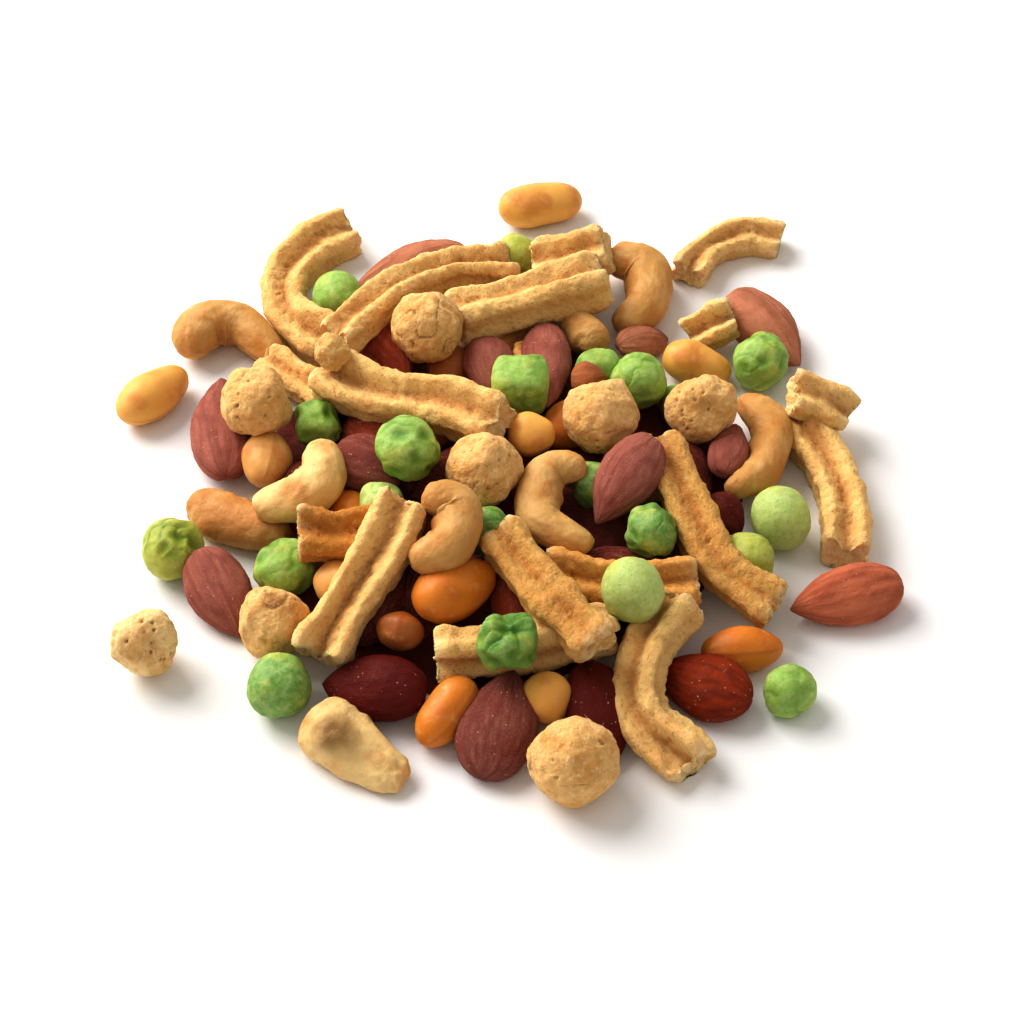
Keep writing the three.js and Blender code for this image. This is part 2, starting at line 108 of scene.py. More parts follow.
PIECES = [
    # Lying apart on the surface
    ("peanut", [(122, 416), (182, 374)], dict(width=9.8, tone="yellow")),
    ("peanut", [(500, 210), (580, 199)], dict(width=9.8, tone="yellow")),
    ("stick", [(687, 275), (710, 249), (744, 237), (781, 241)], dict(width=7, height=6.4, groove=0.8)),
    ("almond", [(902, 583), (790, 610)], dict(tone="ruddy")),
    ("pea", [(790, 690)], dict(width=9.2, wrinkle=0.7)),
    ("ball", [(143, 643)], dict(width=12, height=14.1, facets=0.5, tone="pale")),
    ("pea", [(278, 687)], dict(width=11.6, wrinkle=0.35, tone="leaf")),
    ("cashew", [(312, 712), (344, 742), (404, 784)],
     dict(width=14.4, height=9.6, slim=0.62, tone="straw", hollow=2.4)),
    # Lowest, from the back to the front
    ("pea", [(517, 256)], dict(width=9, tone="lime", wrinkle=0.3)),
    ("cashew", [(610, 256), (645, 270), (646, 306), (616, 328)], dict(width=11.4)),
    ("almond", [(468, 254), (353, 291)], dict(tone="rosy")),
    ("almond", [(484, 318), (574, 292)], dict(tone="tawny")),
    ("stick", [(352, 230), (311, 250), (285, 283), (291, 318), (334, 346)], dict(width=9.6)),
    ("cashew", [(184, 350), (206, 327), (242, 326), (278, 359)], dict(width=11.2, tone="tan")),
    ("almond", [(732, 294), (800, 366)], dict(tone="rosy")),
    ("stick", [(690, 338), (734, 316)], dict(width=7.6)),
    ("cashew", [(566, 322), (590, 336), (600, 348)], dict(width=9)),
    ("almond", [(362, 330), (408, 378)], dict(tone="red")),
    ("almond", [(618, 346), (668, 338)], dict(width=8, tone="rosy")),
    ("peanut", [(664, 354), (728, 374)], dict(width=9, tone="yellow")),
    ("pea", [(338, 299)], dict(width=10.8, wrinkle=0.25)),
    ("almond", [(487, 340), (490, 394)], dict(width=10)),
    ("almond", [(546, 326), (546, 408)], dict(width=10.4)),
    ("pea", [(598, 370)], dict(width=9)),
    ("almond", [(572, 384), (606, 376)], dict(width=8, tone="tawny")),
    ("stick", [(264, 360), (336, 402)], dict(width=7.2, height=6.2)),
    ("stick", [(790, 414), (826, 462), (844, 508), (846, 556)], dict(width=9)),
    ("stick", [(793, 392), (820, 402), (848, 417)], dict(width=8.4)),
    ("almond", [(226, 477), (221, 378)], dict(width=12.8)),
    ("peanut", [(262, 484), (270, 436)], dict(width=9.8)),
    ("almond", [(338, 448), (400, 484)], dict(tone="plum")),
    # Painted light: this peanut lies low in the shade of its neighbours, and its pale tone brightens it.
    ("peanut", [(508, 434), (554, 434)], dict(width=8.8, tone="pale")),
    ("almond", [(722, 474), (736, 424)], dict(width=8)),
    ("pea", [(317, 424)], dict(width=9, wrinkle=1.2, boxy=0.5)),
    ("pea", [(382, 505)], dict(width=9, tone="pale")),
    ("cashew", [(194, 502), (236, 523), (288, 536)], dict(width=11.4, height=10, tone="toasted")),
    ("pea", [(484, 530)], dict(width=9, tone="leaf")),
    ("almond", [(705, 500), (742, 532)], dict(width=9, tone="dark", gloss=0.7)),
    ("pea", [(650, 532)], dict(width=9.6, wrinkle=1.2, tone="leaf")),
    ("pea", [(780, 518)], dict(width=11.6, wrinkle=0.12, tone="pale")),
    ("pea", [(750, 558)], dict(width=10, wrinkle=0.25, tone="lime")),
    ("pea", [(173, 549)], dict(width=11.2, wrinkle=1.2, tone="lime")),
    ("pea", [(285, 567)], dict(width=11.6, height=9.6, wrinkle=0.8)),
    ("peanut", [(334, 604), (344, 562)], dict(width=9)),
    ("stick", [(540, 573), (615, 586), (698, 584)], dict(tone="toasted")),
    ("almond", [(199, 550), (242, 638)], dict(width=12.2)),
    ("ball", [(275, 622)], dict(width=14.2, facets=1.0)),
    ("peanut", [(396, 648), (404, 616)], dict(width=9, tone="brown")),
    ("peanut", [(702, 652), (780, 648)], dict(width=8.6, tone="deep")),
    ("almond", [(426, 692), (322, 684)], dict(tone="dark", gloss=1.0)),
    ("peanut", [(547, 672), (548, 722)], dict(width=9, tone="yellow")),
    ("almond", [(590, 664), (606, 768)], dict(tone="dark", gloss=1.0)),
    ("peanut", [(470, 680), (424, 742)], dict(width=9, tone="deep")),
    ("stick", [(436, 656), (520, 646), (612, 628)], dict(width=9, turn=60)),
    ("ball", [(575, 761)], dict(width=15.8, facets=0.3)),
    # The middle of the heap
    ("pea", [(520, 385)], dict(width=11, wrinkle=0.7, boxy=0.9)),
    ("pea", [(637, 382)], dict(width=11.2, wrinkle=0.6)),
    ("ball", [(255, 403)], dict(width=14.4)),
    ("pea", [(407, 448)], dict(width=12, height=10.4, wrinkle=1.2)),
    ("cashew", [(744, 400), (772, 430), (764, 470), (728, 492)], dict(width=9.2)),
    ("ball", [(603, 415)], dict(width=14.8)),
    ("ball", [(703, 408)], dict(width=14, facets=1.0)),
    ("pea", [(760, 362)], dict(width=11.4, wrinkle=0.8)),
    ("stick", [(322, 370), (380, 396), (440, 404), (501, 425)], dict(width=10.2, groove=1.2)),
    ("cashew", [(318, 446), (323, 476), (298, 498), (254, 508)], dict(width=9.8, slim=1, tone="cream")),
    ("stick", [(298, 532), (345, 537), (404, 528)], dict(width=9.2, tone="orange")),
    ("ball", [(486, 471)], dict(width=14.8)),
    ("stick", [(660, 442), (690, 510), (722, 568), (776, 608)], dict(width=8.6, groove=0.7, tone="browned")),
    # On top
    ("stick", [(334, 342), (392, 294), (448, 270), (510, 268)], dict(width=8.4, turn=-20)),
    ("stick", [(532, 266), (608, 248)], dict(width=9.2)),
    ("stick", [(452, 322), (528, 300), (604, 278)], dict(width=11, turn=-30)),
    ("ball", [(333, 352)], dict(width=7.6, facets=1.2, tone="crust")),
    ("ball", [(428, 327)], dict(width=14.8, facets=0.35)),
    ("almond", [(654, 438), (596, 524)], dict(width=11.4)),
    ("stick", [(404, 500), (383, 550), (350, 602), (318, 656)], dict(width=9.6, groove=2.0)),
    ("peanut", [(416, 608), (490, 572)], dict(width=11, tone="deep")),
    ("cashew", [(422, 496), (457, 506), (450, 546), (408, 563)], dict(width=8.8, slim=1)),
    ("cashew", [(584, 464), (546, 476), (540, 520), (592, 546)], dict(width=8.2, slim=1, tone="golden")),
    ("stick", [(500, 536), (545, 592), (598, 646)], dict(groove=0.5, tone="browned")),
    ("almond", [(484, 778), (514, 670)], dict(tone="plum", gloss=0.1, broad=1.18)),
    ("pea", [(509, 641)], dict(width=10.8, wrinkle=1.3, tone="leaf")),
    ("almond", [(750, 702), (656, 667)], dict(tone="red", gloss=1.0)),
    ("stick", [(680, 600), (646, 652), (642, 712), (696, 766)], dict(width=9, turn=30, groove=1.3)),
    ("pea", [(632, 590)], dict(width=11.6, wrinkle=0.1, tone="pale")),
]
print(len(PIECES), "pieces show in the picture")

# %% [markdown]
# ## A middle line
#
# A stick or a nut is drawn out along a smooth line through a few points. A Catmull-Rom curve passes
# through its points, so they can be read straight off a picture. Each place on the curve is a
# weighted mean of the points. Keeping those weights as a table makes everything after it one
# multiplication.

# %% Smooth lines through points
NEAR = 1e-3  # how far ahead and behind the line's direction is read, as a share of the line
LENGTH_STEPS = 40


def blend_weights(part):
    """How much the four points round a stretch count, at a part of the way along it."""
    return (
        -0.5 * part + part**2 - 0.5 * part**3,
        1 - 2.5 * part**2 + 1.5 * part**3,
        0.5 * part + 2 * part**2 - 1.5 * part**3,
        -0.5 * part**2 + 0.5 * part**3,
    )


def line_weights(count, along):
    """How much each of a line's points counts at each place along it, from 0 to 1."""
    weights = np.zeros((len(along), count + 2))
    place = np.clip(along, 0, 1) * (count - 1)
    first = np.minimum(place.astype(int), count - 2)
    for step, part in enumerate(blend_weights(place - first)):
        weights[np.arange(len(along)), first + step] += part
    # The curve needs one more point beyond each end: the end's neighbour, mirrored in the end.
    weights[:, 1] += 2 * weights[:, 0]
    weights[:, 2] -= weights[:, 0]
    weights[:, -2] += 2 * weights[:, -1]
    weights[:, -3] -= weights[:, -1]
    return weights[:, 1:-1]


def unit(vectors):
    return vectors / np.linalg.norm(vectors, axis=-1, keepdims=True)


def directions(points, along, turn):
    """The line's places, and the directions along, across and up there."""
    middle, ahead, behind = (line_weights(len(points), np.clip(along + step, 0, 1)) @ points
                             for step in (0, NEAR, -NEAR))
    forward = unit(ahead - behind)
    across = unit(np.cross(forward, FACING_UP))
    up = np.cross(across, forward)
    c, s = math.cos(math.radians(turn)), math.sin(math.radians(turn))
    return middle, forward, across * c - up * s, up * c + across * s


def length_of(piece):
    line = line_weights(len(piece["points"]), np.linspace(0, 1, LENGTH_STEPS)) @ piece["points"]
    return float(np.linalg.norm(np.diff(line, axis=0), axis=1).sum())


# %% [markdown]
# ## Coming to rest
#
# A picture gives a piece's direction from the eye but not its height. Gravity gives that. Each piece
# starts high up on its lines of sight and slides down them until it meets the surface, the hidden
# middle of the heap or a piece that already lies there. Round beads stand in for a long piece. A
# physics simulation could do the same, but pieces would then roll away from where the picture has
# them.

# %% The hidden middle of the heap
# The higher the falloff, the flatter its top and the steeper its rim.
CORE = dict(height=9.5, reach=56, unevenness=2.5, falloff=2.4, centre=np.array([3, -8.8]))


def core_reach(angle):
    return CORE["reach"] + CORE["unevenness"] * (np.sin(3 * angle + 1) + 0.5 * np.sin(7 * angle))


def core_height(x, y, centre=CORE["centre"], shrunk=0):
    """The height of the core's surface over a place on the ground."""
    x, y = x - centre[0], y - centre[1]
    share = np.hypot(x, y) / (core_reach(np.arctan2(y, x)) - shrunk)
    return CORE["height"] * (1 - np.minimum(share, 1) ** CORE["falloff"])


# %% How thick a piece is
DROP = 0.8  # under 1, an almond is widest nearer its blunt base
BLUNT = dict(almond=0.62, cashew=0.3, peanut=0.42)  # the lower, the blunter the ends are


def round_ends(along, power):
    return np.maximum(0, 1 - (2 * along - 1) ** 2) ** power


def thickness(piece, along):
    """How thick a piece is along its middle line, as a share of its full thickness."""
    kind = piece["kind"]
    if kind == "almond":
        return np.sin(math.pi * along**DROP) ** BLUNT[kind]
    if kind == "cashew":
        return round_ends(along, BLUNT[kind]) * (1 + (piece["slim"] - 1) * along)
    if kind == "peanut":
        return round_ends(along, BLUNT[kind])
    return np.ones_like(along)


# %% Lower every piece
BEADS = 9  # how many beads stand in for a long piece
NESTING = 0.8  # neighbours' middles come as near as this share of their reaches
FOOT = 0.4  # how far a piece sinks into the surface before it is cut flat there
STEEPEST = 0.45  # how far one end may be above the other, as a share of the way between them
START_HEIGHT = 60
STEPS = (2, 1, 0.5, 0.25)  # how far a piece goes down at a time, coarse steps first
# Both ends go down, or one of them while the other stays or comes up a little.
MOVES = [(-1, -1), (-1, 0), (0, -1), (-1, 0.5), (0.5, -1), (-1, 0.8), (0.8, -1)]

lying = {"at": np.zeros((0, 3)), "reach": np.zeros(0)}
pieces = []


def beads(piece, count):
    """How much a piece's points count at each bead, and how far the beads reach out and down."""
    along = (np.arange(BEADS) + 0.5) / BEADS
    weights = line_weights(count, along) if count > 1 else np.ones((1, 1))
    full = thickness(piece, along) if count > 1 else np.ones(1)
    return weights, full * (piece["width"] + piece["height"]) / 4, full * piece["height"] / 2


def is_clear(at, reach):
    """Whether beads at these places keep clear of all that lies."""
    apart = np.linalg.norm(at[:, None] - lying["at"][None], axis=2)
    return (apart >= NESTING * (reach[:, None] + lying["reach"][None])).all()


def lay_down(piece, at, reach):
    lying["at"] = np.vstack([lying["at"], at])
    lying["reach"] = np.append(lying["reach"], reach)
    pieces.append(piece)


def settle(piece):
    """Lowers a piece along its lines of sight and lays it down there."""
    starts, slopes = (np.array(part) for part in zip(*map(sight_line, piece["places"])))
    steps = np.hypot(*np.diff(piece["places"], axis=0).T)
    share = np.concatenate([[0], np.cumsum(steps)]) / (steps.sum() or 1)
    weights, reach, depth = beads(piece, len(starts))
    # A bead's place changes evenly with the heights of the two ends.
    still = weights @ starts
    by_start = weights @ (slopes * (1 - share)[:, None])
    by_end = weights @ (slopes * share[:, None])

    def places_at(heights):
        return still + by_start * heights[0] + by_end * heights[1]

    def fits(heights):
        at = places_at(heights)
        if abs(heights[0] - heights[1]) > STEEPEST * np.linalg.norm(at[0] - at[-1]):
            return False
        over_core = at[:, 2] - core_height(at[:, 0], at[:, 1]) - depth * NESTING
        if (at[:, 2] < depth - FOOT).any() or (over_core < 0).any():
            return False
        return is_clear(at, reach)

    heights = (START_HEIGHT, START_HEIGHT)
    moves = MOVES if len(starts) > 1 else MOVES[:1]
    for step in STEPS:
        while True:
            lower = ((heights[0] + a * step, heights[1] + b * step) for a, b in moves)
            below = next(filter(fits, lower), None)
            if below is None:
                break
            heights = below
    each = heights[0] * (1 - share) + heights[1] * share
    piece["points"] = starts + slopes * each[:, None]
    lay_down(piece, places_at(heights), reach)


for number, (kind, places, own) in enumerate(PIECES):
    piece = {"kind": kind, "places": places, "number": number, "turn": 0, **KINDS[kind], **own}
    if "width" in own and "height" not in own:
        piece["height"] = own["width"] * KINDS[kind]["height"] / KINDS[kind]["width"]
    settle(piece)
print("The heap is", round(float((lying["at"][:, 2] + lying["reach"]).max()), 1), "mm high")

# %% [markdown]
# ## What lies underneath
#
# The gaps between the pieces show more pieces, and from behind the whole lower layer shows. The
# picture doesn't say what those are, so they are strewn by a random generator with a fixed seed.
# Each lies on a bed inside the hidden middle, half sunk, and is left out where it would cut into
# another.

# %% Strew the lower layer
BED_SHRUNK = 9  # how far the bed's rim stays inside the core's
BED_CENTRE = CORE["centre"] + np.array([-4, 3])
BED_SUNK = 0.72  # the bed's height, as a share of the core's
SUNK = 0.5  # how much of its half height a strewn piece stands over the bed
STREWN = {  # how often each kind comes, its length, its width, its height and its tones in turn
    "almond": (0.62, 21, 11.6, 7.8, ("dark", "dusty", "dark", "red")),
    "peanut": (0.16, 13.5, 9, 8.4, ("deep", "brown")),
    "pea": (0.04, 0, 9.6, 9.6, ("leaf", "bright")),
    "stick": (0.1, 15, 8, 7, ("golden", "toasted")),
    "cashew": (0.08, 17, 9, 8.6, ("tan", "toasted")),
}
STREWN_TO = 0.97  # how near the bed's rim a piece's middle may be
STREWN_BEND = (0.06, 0.3)  # the least and the most that one bends, as a share of its length
STREWN_GIRTH = (0.92, 1.05)
STREWN_TILT = (-25, 25)
TRIES = 2500
rng = np.random.default_rng(11)


def strewn_piece(number):
    kind = rng.choice(list(STREWN), p=[row[0] for row in STREWN.values()])
    _, length, width, height, tones = STREWN[kind]
    angle, yaw = rng.uniform(0, 2 * math.pi, 2)
    share = math.sqrt(rng.uniform(0, 1)) * STREWN_TO
    reach = core_reach(angle) - BED_SHRUNK
    middle = BED_CENTRE + share * reach * np.array([math.cos(angle), math.sin(angle)])
    steps = np.linspace(-0.5, 0.5, 1 if kind == "pea" else 3)[:, None]
    flat = middle + steps * length * np.array([math.cos(yaw), math.sin(yaw)])
    if kind in ("cashew", "stick"):
        bend = rng.uniform(*STREWN_BEND) * length
        flat[1] += bend * np.array([-math.sin(yaw), math.cos(yaw)])
    on_bed = core_height(*flat.T, BED_CENTRE, BED_SHRUNK) * BED_SUNK + height / 2 * SUNK
    size = dict(width=width * rng.uniform(*STREWN_GIRTH), height=height, turn=rng.uniform(*STREWN_TILT))
    own = {"kind": kind, "number": number, **KINDS[kind], **size, "tone": tones[number % len(tones)]}
    points = np.column_stack([flat, np.maximum(on_bed, height / 2 - FOOT)])
    return {**own, "points": points, "strewn": True}


for number in range(len(PIECES), len(PIECES) + TRIES):
    piece = strewn_piece(number)
    weights, reach, _ = beads(piece, len(piece["points"]))
    if is_clear(weights @ piece["points"], reach):
        lay_down(piece, weights @ piece["points"], reach)
print(len(pieces) - len(PIECES), "pieces strewn underneath")

# %% [markdown]
# ## Roughness from noise
#
# Baked, roasted and dried things are never smooth. Blender's noise texture only reaches a surface in
# the render, and the mesh has to carry the larger bumps itself. So here is noise in numpy: a random
# value at each corner of a grid, smoothly blended in between. Distances to strewn dots give pits.
# Each use further down adds a number of its own to the piece's as the seed, so that no two patterns
# are alike.

# %% Noise in numpy
SCRAMBLE = (0x8DA6B343, 0xD8163841, 0xCB1AB31F)  # large odd numbers, which spread the bits about
SCRAMBLE_SEED = 2654435761
SCRAMBLE_AGAIN = ((15, 0x2C1B3C6D), (12, 0x297A2D39))
FAR = 9.0  # farther than any dot can be, in cells


def hashed(cells, seed):
    """A number from 0 to 1 for a cell of the grid, the same each time."""
    x, y, z = np.moveaxis(cells.astype(np.int64).astype(np.uint32), -1, 0)
    a, b, c = map(np.uint32, SCRAMBLE)
    mixed = x * a ^ y * b ^ z * c ^ np.uint32(seed * SCRAMBLE_SEED % 2**32)
    for shift, factor in SCRAMBLE_AGAIN:
        mixed = (mixed ^ (mixed >> np.uint32(shift))) * np.uint32(factor)
    return (mixed ^ (mixed >> np.uint32(15))) / np.float64(2**32)


def noise(points, size, seed=0):
    """Smooth noise from about -1 to 1, with bumps of about this size."""
    place = points / size
    cell = np.floor(place)
    part = place - cell
    part = part * part * (3 - 2 * part)
    total = 0
    for corner in itertools.product((0, 1), repeat=3):
        total = total + np.where(corner, part, 1 - part).prod(axis=-1) * hashed(cell + corner, seed)
    return 2 * total - 1


def rough(points, size, seed=0, layers=3):
    """Noise with finer and weaker noise on top."""
    return sum(noise(points, size / 2**layer, seed + layer) / 2**layer for layer in range(layers))


def from_dots(points, size, seed=0):
    """How far it is to the nearest of many strewn dots, one to each cube of this size."""
    place = points / size
    cell = np.floor(place)
    nearest = np.full(place.shape[:-1], FAR)
    for step in itertools.product((-1, 0, 1), repeat=3):
        other = cell + step
        dot = other + np.stack([hashed(other, seed + axis) for axis in range(3)], axis=-1)
        nearest = np.minimum(nearest, np.linalg.norm(place - dot, axis=-1))
    return nearest * size


def smooth_step(value, low, high):
    """0 up to low, 1 from high on, and soft in between. It falls where low is above high."""
    part = np.clip((value - low) / (high - low), 0, 1)
    return part * part * (3 - 2 * part)


# %% What the noise is used for
def bumps(points, height_and_width, seed, layers=1):
    """Bumps of this height and width. More layers make them rough."""
    height, width = height_and_width
    return height * rough(points, width, seed, layers)


def patches(points, size, low, high, seed):
    """1 in patches of this size and 0 outside, rising between two values of the noise."""
    return smooth_step(noise(points, size, seed), low, high)


def lines(points, apart, width, seed):
    """1 on winding lines, where the noise passes through 0, and 0 off them."""
    return smooth_step(np.abs(noise(points, apart, seed)), width, 0)


def hollows(points, spacing, rim, floor, seed):
    """1 in round hollows at strewn dots and 0 beyond, with the reach of their rims and floors."""
    return smooth_step(from_dots(points, spacing, seed), rim, floor)


# %% [markdown]
# ## From arrays to one mesh of a kind
#
# All pieces of one kind share one mesh and one material, which keeps the scene small. What differs
# from piece to piece goes along on the vertices, as attributes: `grain` is the vertex's place on the
# straightened piece, in millimetres, so that a texture follows a bend. `tone` is the piece's colour.
# `mark` is how deep the vertex lies in a groove or wrinkle; the finishes of the sticks, coated
# peanuts and peas darken the colour there as painted shade, and that of the almonds partly. `own` is
# what only one kind needs: how near a stick's end is, how much an almond shines, or how deep a
# cashew's hollow is, which its finish darkens as painted shade.

# %% The mesh of one kind
GRAIN_SHIFT = np.array([31.7, 17.3, 41.1])  # takes each piece to another part of the textures
ATTRIBUTES = {"grain": ("FLOAT_VECTOR", "vector"), "tone": ("FLOAT_COLOR", "color"),
              "mark": ("FLOAT", "value"), "own": ("FLOAT", "value")}


def linear(hex_colour):
    """A colour as the web writes it, in the linear values that Blender uses, and opaque."""
    values = [int(hex_colour[i : i + 2], 16) / 255 for i in (1, 3, 5)]
    return (*(v / 12.92 if v <= 0.04045 else ((v + 0.055) / 1.055) ** 2.4 for v in values), 1)


class Kind:
    """Gathers the pieces of one kind and makes them into one object."""

    def __init__(self):
        self.vertices, self.triangles, self.count = [], [], 0
        self.facts = {name: [] for name in ATTRIBUTES}

    def add(self, number, tone, vertices, triangles, grain, mark=0.0, own=0.0):
        size = len(vertices)
        a, b, c = (vertices[triangles[:, corner]] for corner in range(3))
        if np.einsum("ij,ij->", a, np.cross(b, c)) < 0:  # its faces look inwards
            triangles = triangles[:, ::-1]
        self.vertices.append(np.maximum(vertices, [-np.inf, -np.inf, 0]))
        self.triangles.append(triangles + self.count)
        self.count += size
        self.facts["grain"].append(grain + GRAIN_SHIFT * number)
        self.facts["tone"].append(np.tile(linear(tone), (size, 1)))
        self.facts["mark"].append(np.broadcast_to(mark, size))
        self.facts["own"].append(np.broadcast_to(own, size))

    def build(self, name, slot, material, nodes):
        mesh = bpy.data.meshes.new(name)
        mesh.from_pydata(np.vstack(self.vertices) * MM, [], np.vstack(self.triangles))
        for fact, (form, field) in ATTRIBUTES.items():
            data = mesh.attributes.new(fact, form, "POINT").data
            data.foreach_set(field, np.concatenate(self.facts[fact]).astype(np.float32).ravel())
        mesh.shade_smooth()
        mesh.materials.append(material)
        thing = bpy.data.objects.new(name, mesh)
        bpy.context.collection.objects.link(thing)
        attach(thing, "root")
        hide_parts(*nodes)
        print(name, len(self.vertices), "pieces,", len(mesh.polygons), "triangles")


def gathered(kind, shape_of, tones):
    """All pieces of one kind, each in its own shape and tone."""
    made = Kind()
    for piece in pieces:
        if piece["kind"] == kind:
            made.add(piece["number"], tones[piece["tone"]], *shape_of(piece))
    return made


# %% [markdown]
# ## Two base grids
#
# A long piece is a tube: rings of vertices and one closing vertex at each end. A round piece is a
# cube whose six faces are grids, puffed up to a ball, because that has no crowded poles.

# %% A tube
def tube(rings, sides):
    """Triangles of a closed tube. Vertex 0 closes its start and the last vertex its end."""
    ring, side = np.meshgrid(np.arange(rings - 1), np.arange(sides), indexing="ij")
    a = 1 + ring * sides + side
    b = 1 + ring * sides + (side + 1) % sides
    quads = np.stack([a, b, b + sides, a + sides], axis=-1).reshape(-1, 4)
    around = np.arange(sides)
    following = (around + 1) % sides
    last = 1 + rings * sides
    start = np.column_stack([np.zeros(sides, int), 1 + following, 1 + around])
    end = np.column_stack([np.full(sides, last), last - sides + around, last - sides + following])
    return np.vstack([start, quads[:, [0, 1, 2]], quads[:, [0, 2, 3]], end])


def closed(rows):
    """One value for each vertex of a tube, from one for each place on its rings."""
    return np.concatenate([[rows[0].mean()], rows.ravel(), [rows[-1].mean()]])


def ringwise(values, rows):
    """One value for each vertex of a tube, from one for each of its rings."""
    return closed(np.broadcast_to(values[:, None], rows.shape))


def straightened(x, y, run):
    """Each vertex's place on the straightened piece."""
    return np.column_stack([closed(x), closed(y), ringwise(run, x)])


def laid_along(piece, along, sideways, upwards, forwards=0):
    """Puts rings of places across and up from the middle line where they belong."""
    middle, forward, across, up = directions(piece["points"], along, piece["turn"])
    rings = (middle[:, None] + across[:, None] * sideways[..., None] + up[:, None] * upwards[..., None]
             + forward[:, None] * (forwards * np.ones_like(sideways))[..., None])
    return np.vstack([rings[0].mean(0), rings.reshape(-1, 3), rings[-1].mean(0)])


def raised(vertices, triangles, relief):
    """Moves each vertex out along its normal."""
    corners = vertices[triangles]
    flat = np.cross(corners[:, 1] - corners[:, 0], corners[:, 2] - corners[:, 0])
    normals = np.zeros_like(vertices)
    for corner in range(3):
        np.add.at(normals, triangles[:, corner], flat)
    return vertices + unit(normals) * relief[:, None]


# %% A ball
def ball_grid(steps):
    """Directions and triangles of a ball that is made from a cube with this many steps a side."""
    at = np.tan(np.linspace(-math.pi / 4, math.pi / 4, steps + 1))
    u, v = np.meshgrid(at, at, indexing="ij")
    ones = np.ones_like(u)
    faces = [(ones, u, v), (-ones, v, u), (v, ones, u), (u, -ones, v), (u, v, ones), (v, u, -ones)]
    corners = np.concatenate([np.stack(face, axis=-1).reshape(-1, 3) for face in faces])
    i, j = np.meshgrid(np.arange(steps), np.arange(steps), indexing="ij")
    a = (i * (steps + 1) + j).ravel()
    quads = np.column_stack([a, a + steps + 1, a + steps + 2, a + 1])
    quads = np.vstack([quads + face * (steps + 1) ** 2 for face in range(6)])
    # The faces' grids meet in double vertices, which are joined here.
    _, first, same = np.unique(corners.round(6), axis=0, return_index=True, return_inverse=True)
    quads = same.ravel()[quads]
    return unit(corners[first]), np.vstack([quads[:, [0, 1, 2]], quads[:, [0, 2, 3]]])


def unevenness(direction, number):
    """The large bumps of a round piece, for each direction from its middle."""
    x, y, z = direction.T
    return (np.sin(2.3 * x + 1.7 * y + number) * 0.5 + np.sin(3.1 * y - 2.2 * z + 2 * number) * 0.3
            + np.sin(4.7 * z + 3.9 * x + 3 * number) * 0.2)


def uneven_ball(piece, facing, bump):
    """How far a round piece reaches in each direction, as a share, with bumps of this height."""
    return 1 + 2 * bump / piece["width"] * unevenness(facing, piece["number"])


def half_size(piece):
    return np.array([piece["width"], piece["width"], piece["height"]]) / 2


# %% [markdown]
# ## Finishes
#
# Each finish is a Principled BSDF with node maths in front of it. A small class lets that maths be
# written as plain Python: `1 - mask` adds a Math node. Every other node comes from one method.
# A finish starts from the piece's own tone and is tinted step by step.
#
# Light goes a little way into baked and roasted things and comes out warmer, red farthest and blue
# least far. That keeps their shaded sides golden and not grey.

# %% A socket that can be reckoned with
MIX_SHARE, MIX_FIRST, MIX_SECOND, MIX_RESULT = 0, 6, 7, 2  # the Mix node's sockets for colours
WARM = (1.0, 0.42, 0.12)  # how far red, green and blue go, as shares of the scale
CRUST_GLOW = dict(subsurface_weight=0.35, subsurface_scale=0.0016, subsurface_radius=WARM)
NUT_GLOW = dict(subsurface_weight=0.3, subsurface_scale=0.002, subsurface_radius=WARM)
PEA_GLOW = dict(subsurface_weight=0.12, subsurface_scale=0.002)


class Wire:
    """A value that comes out of a node."""

    def __init__(self, finish, socket):
        self.finish, self.socket = finish, socket

    def _maths(self, operation, first, second):
        return self.finish.node("ShaderNodeMath", {"operation": operation}, {0: first, 1: second})

    def __add__(self, other):
        return self._maths("ADD", self, other)

    def __radd__(self, other):
        return self._maths("ADD", other, self)

    def __sub__(self, other):
        return self._maths("SUBTRACT", self, other)

    def __rsub__(self, other):
        return self._maths("SUBTRACT", other, self)

    def __mul__(self, other):
        return self._maths("MULTIPLY", self, other)

    def __rmul__(self, other):
        return self._maths("MULTIPLY", other, self)


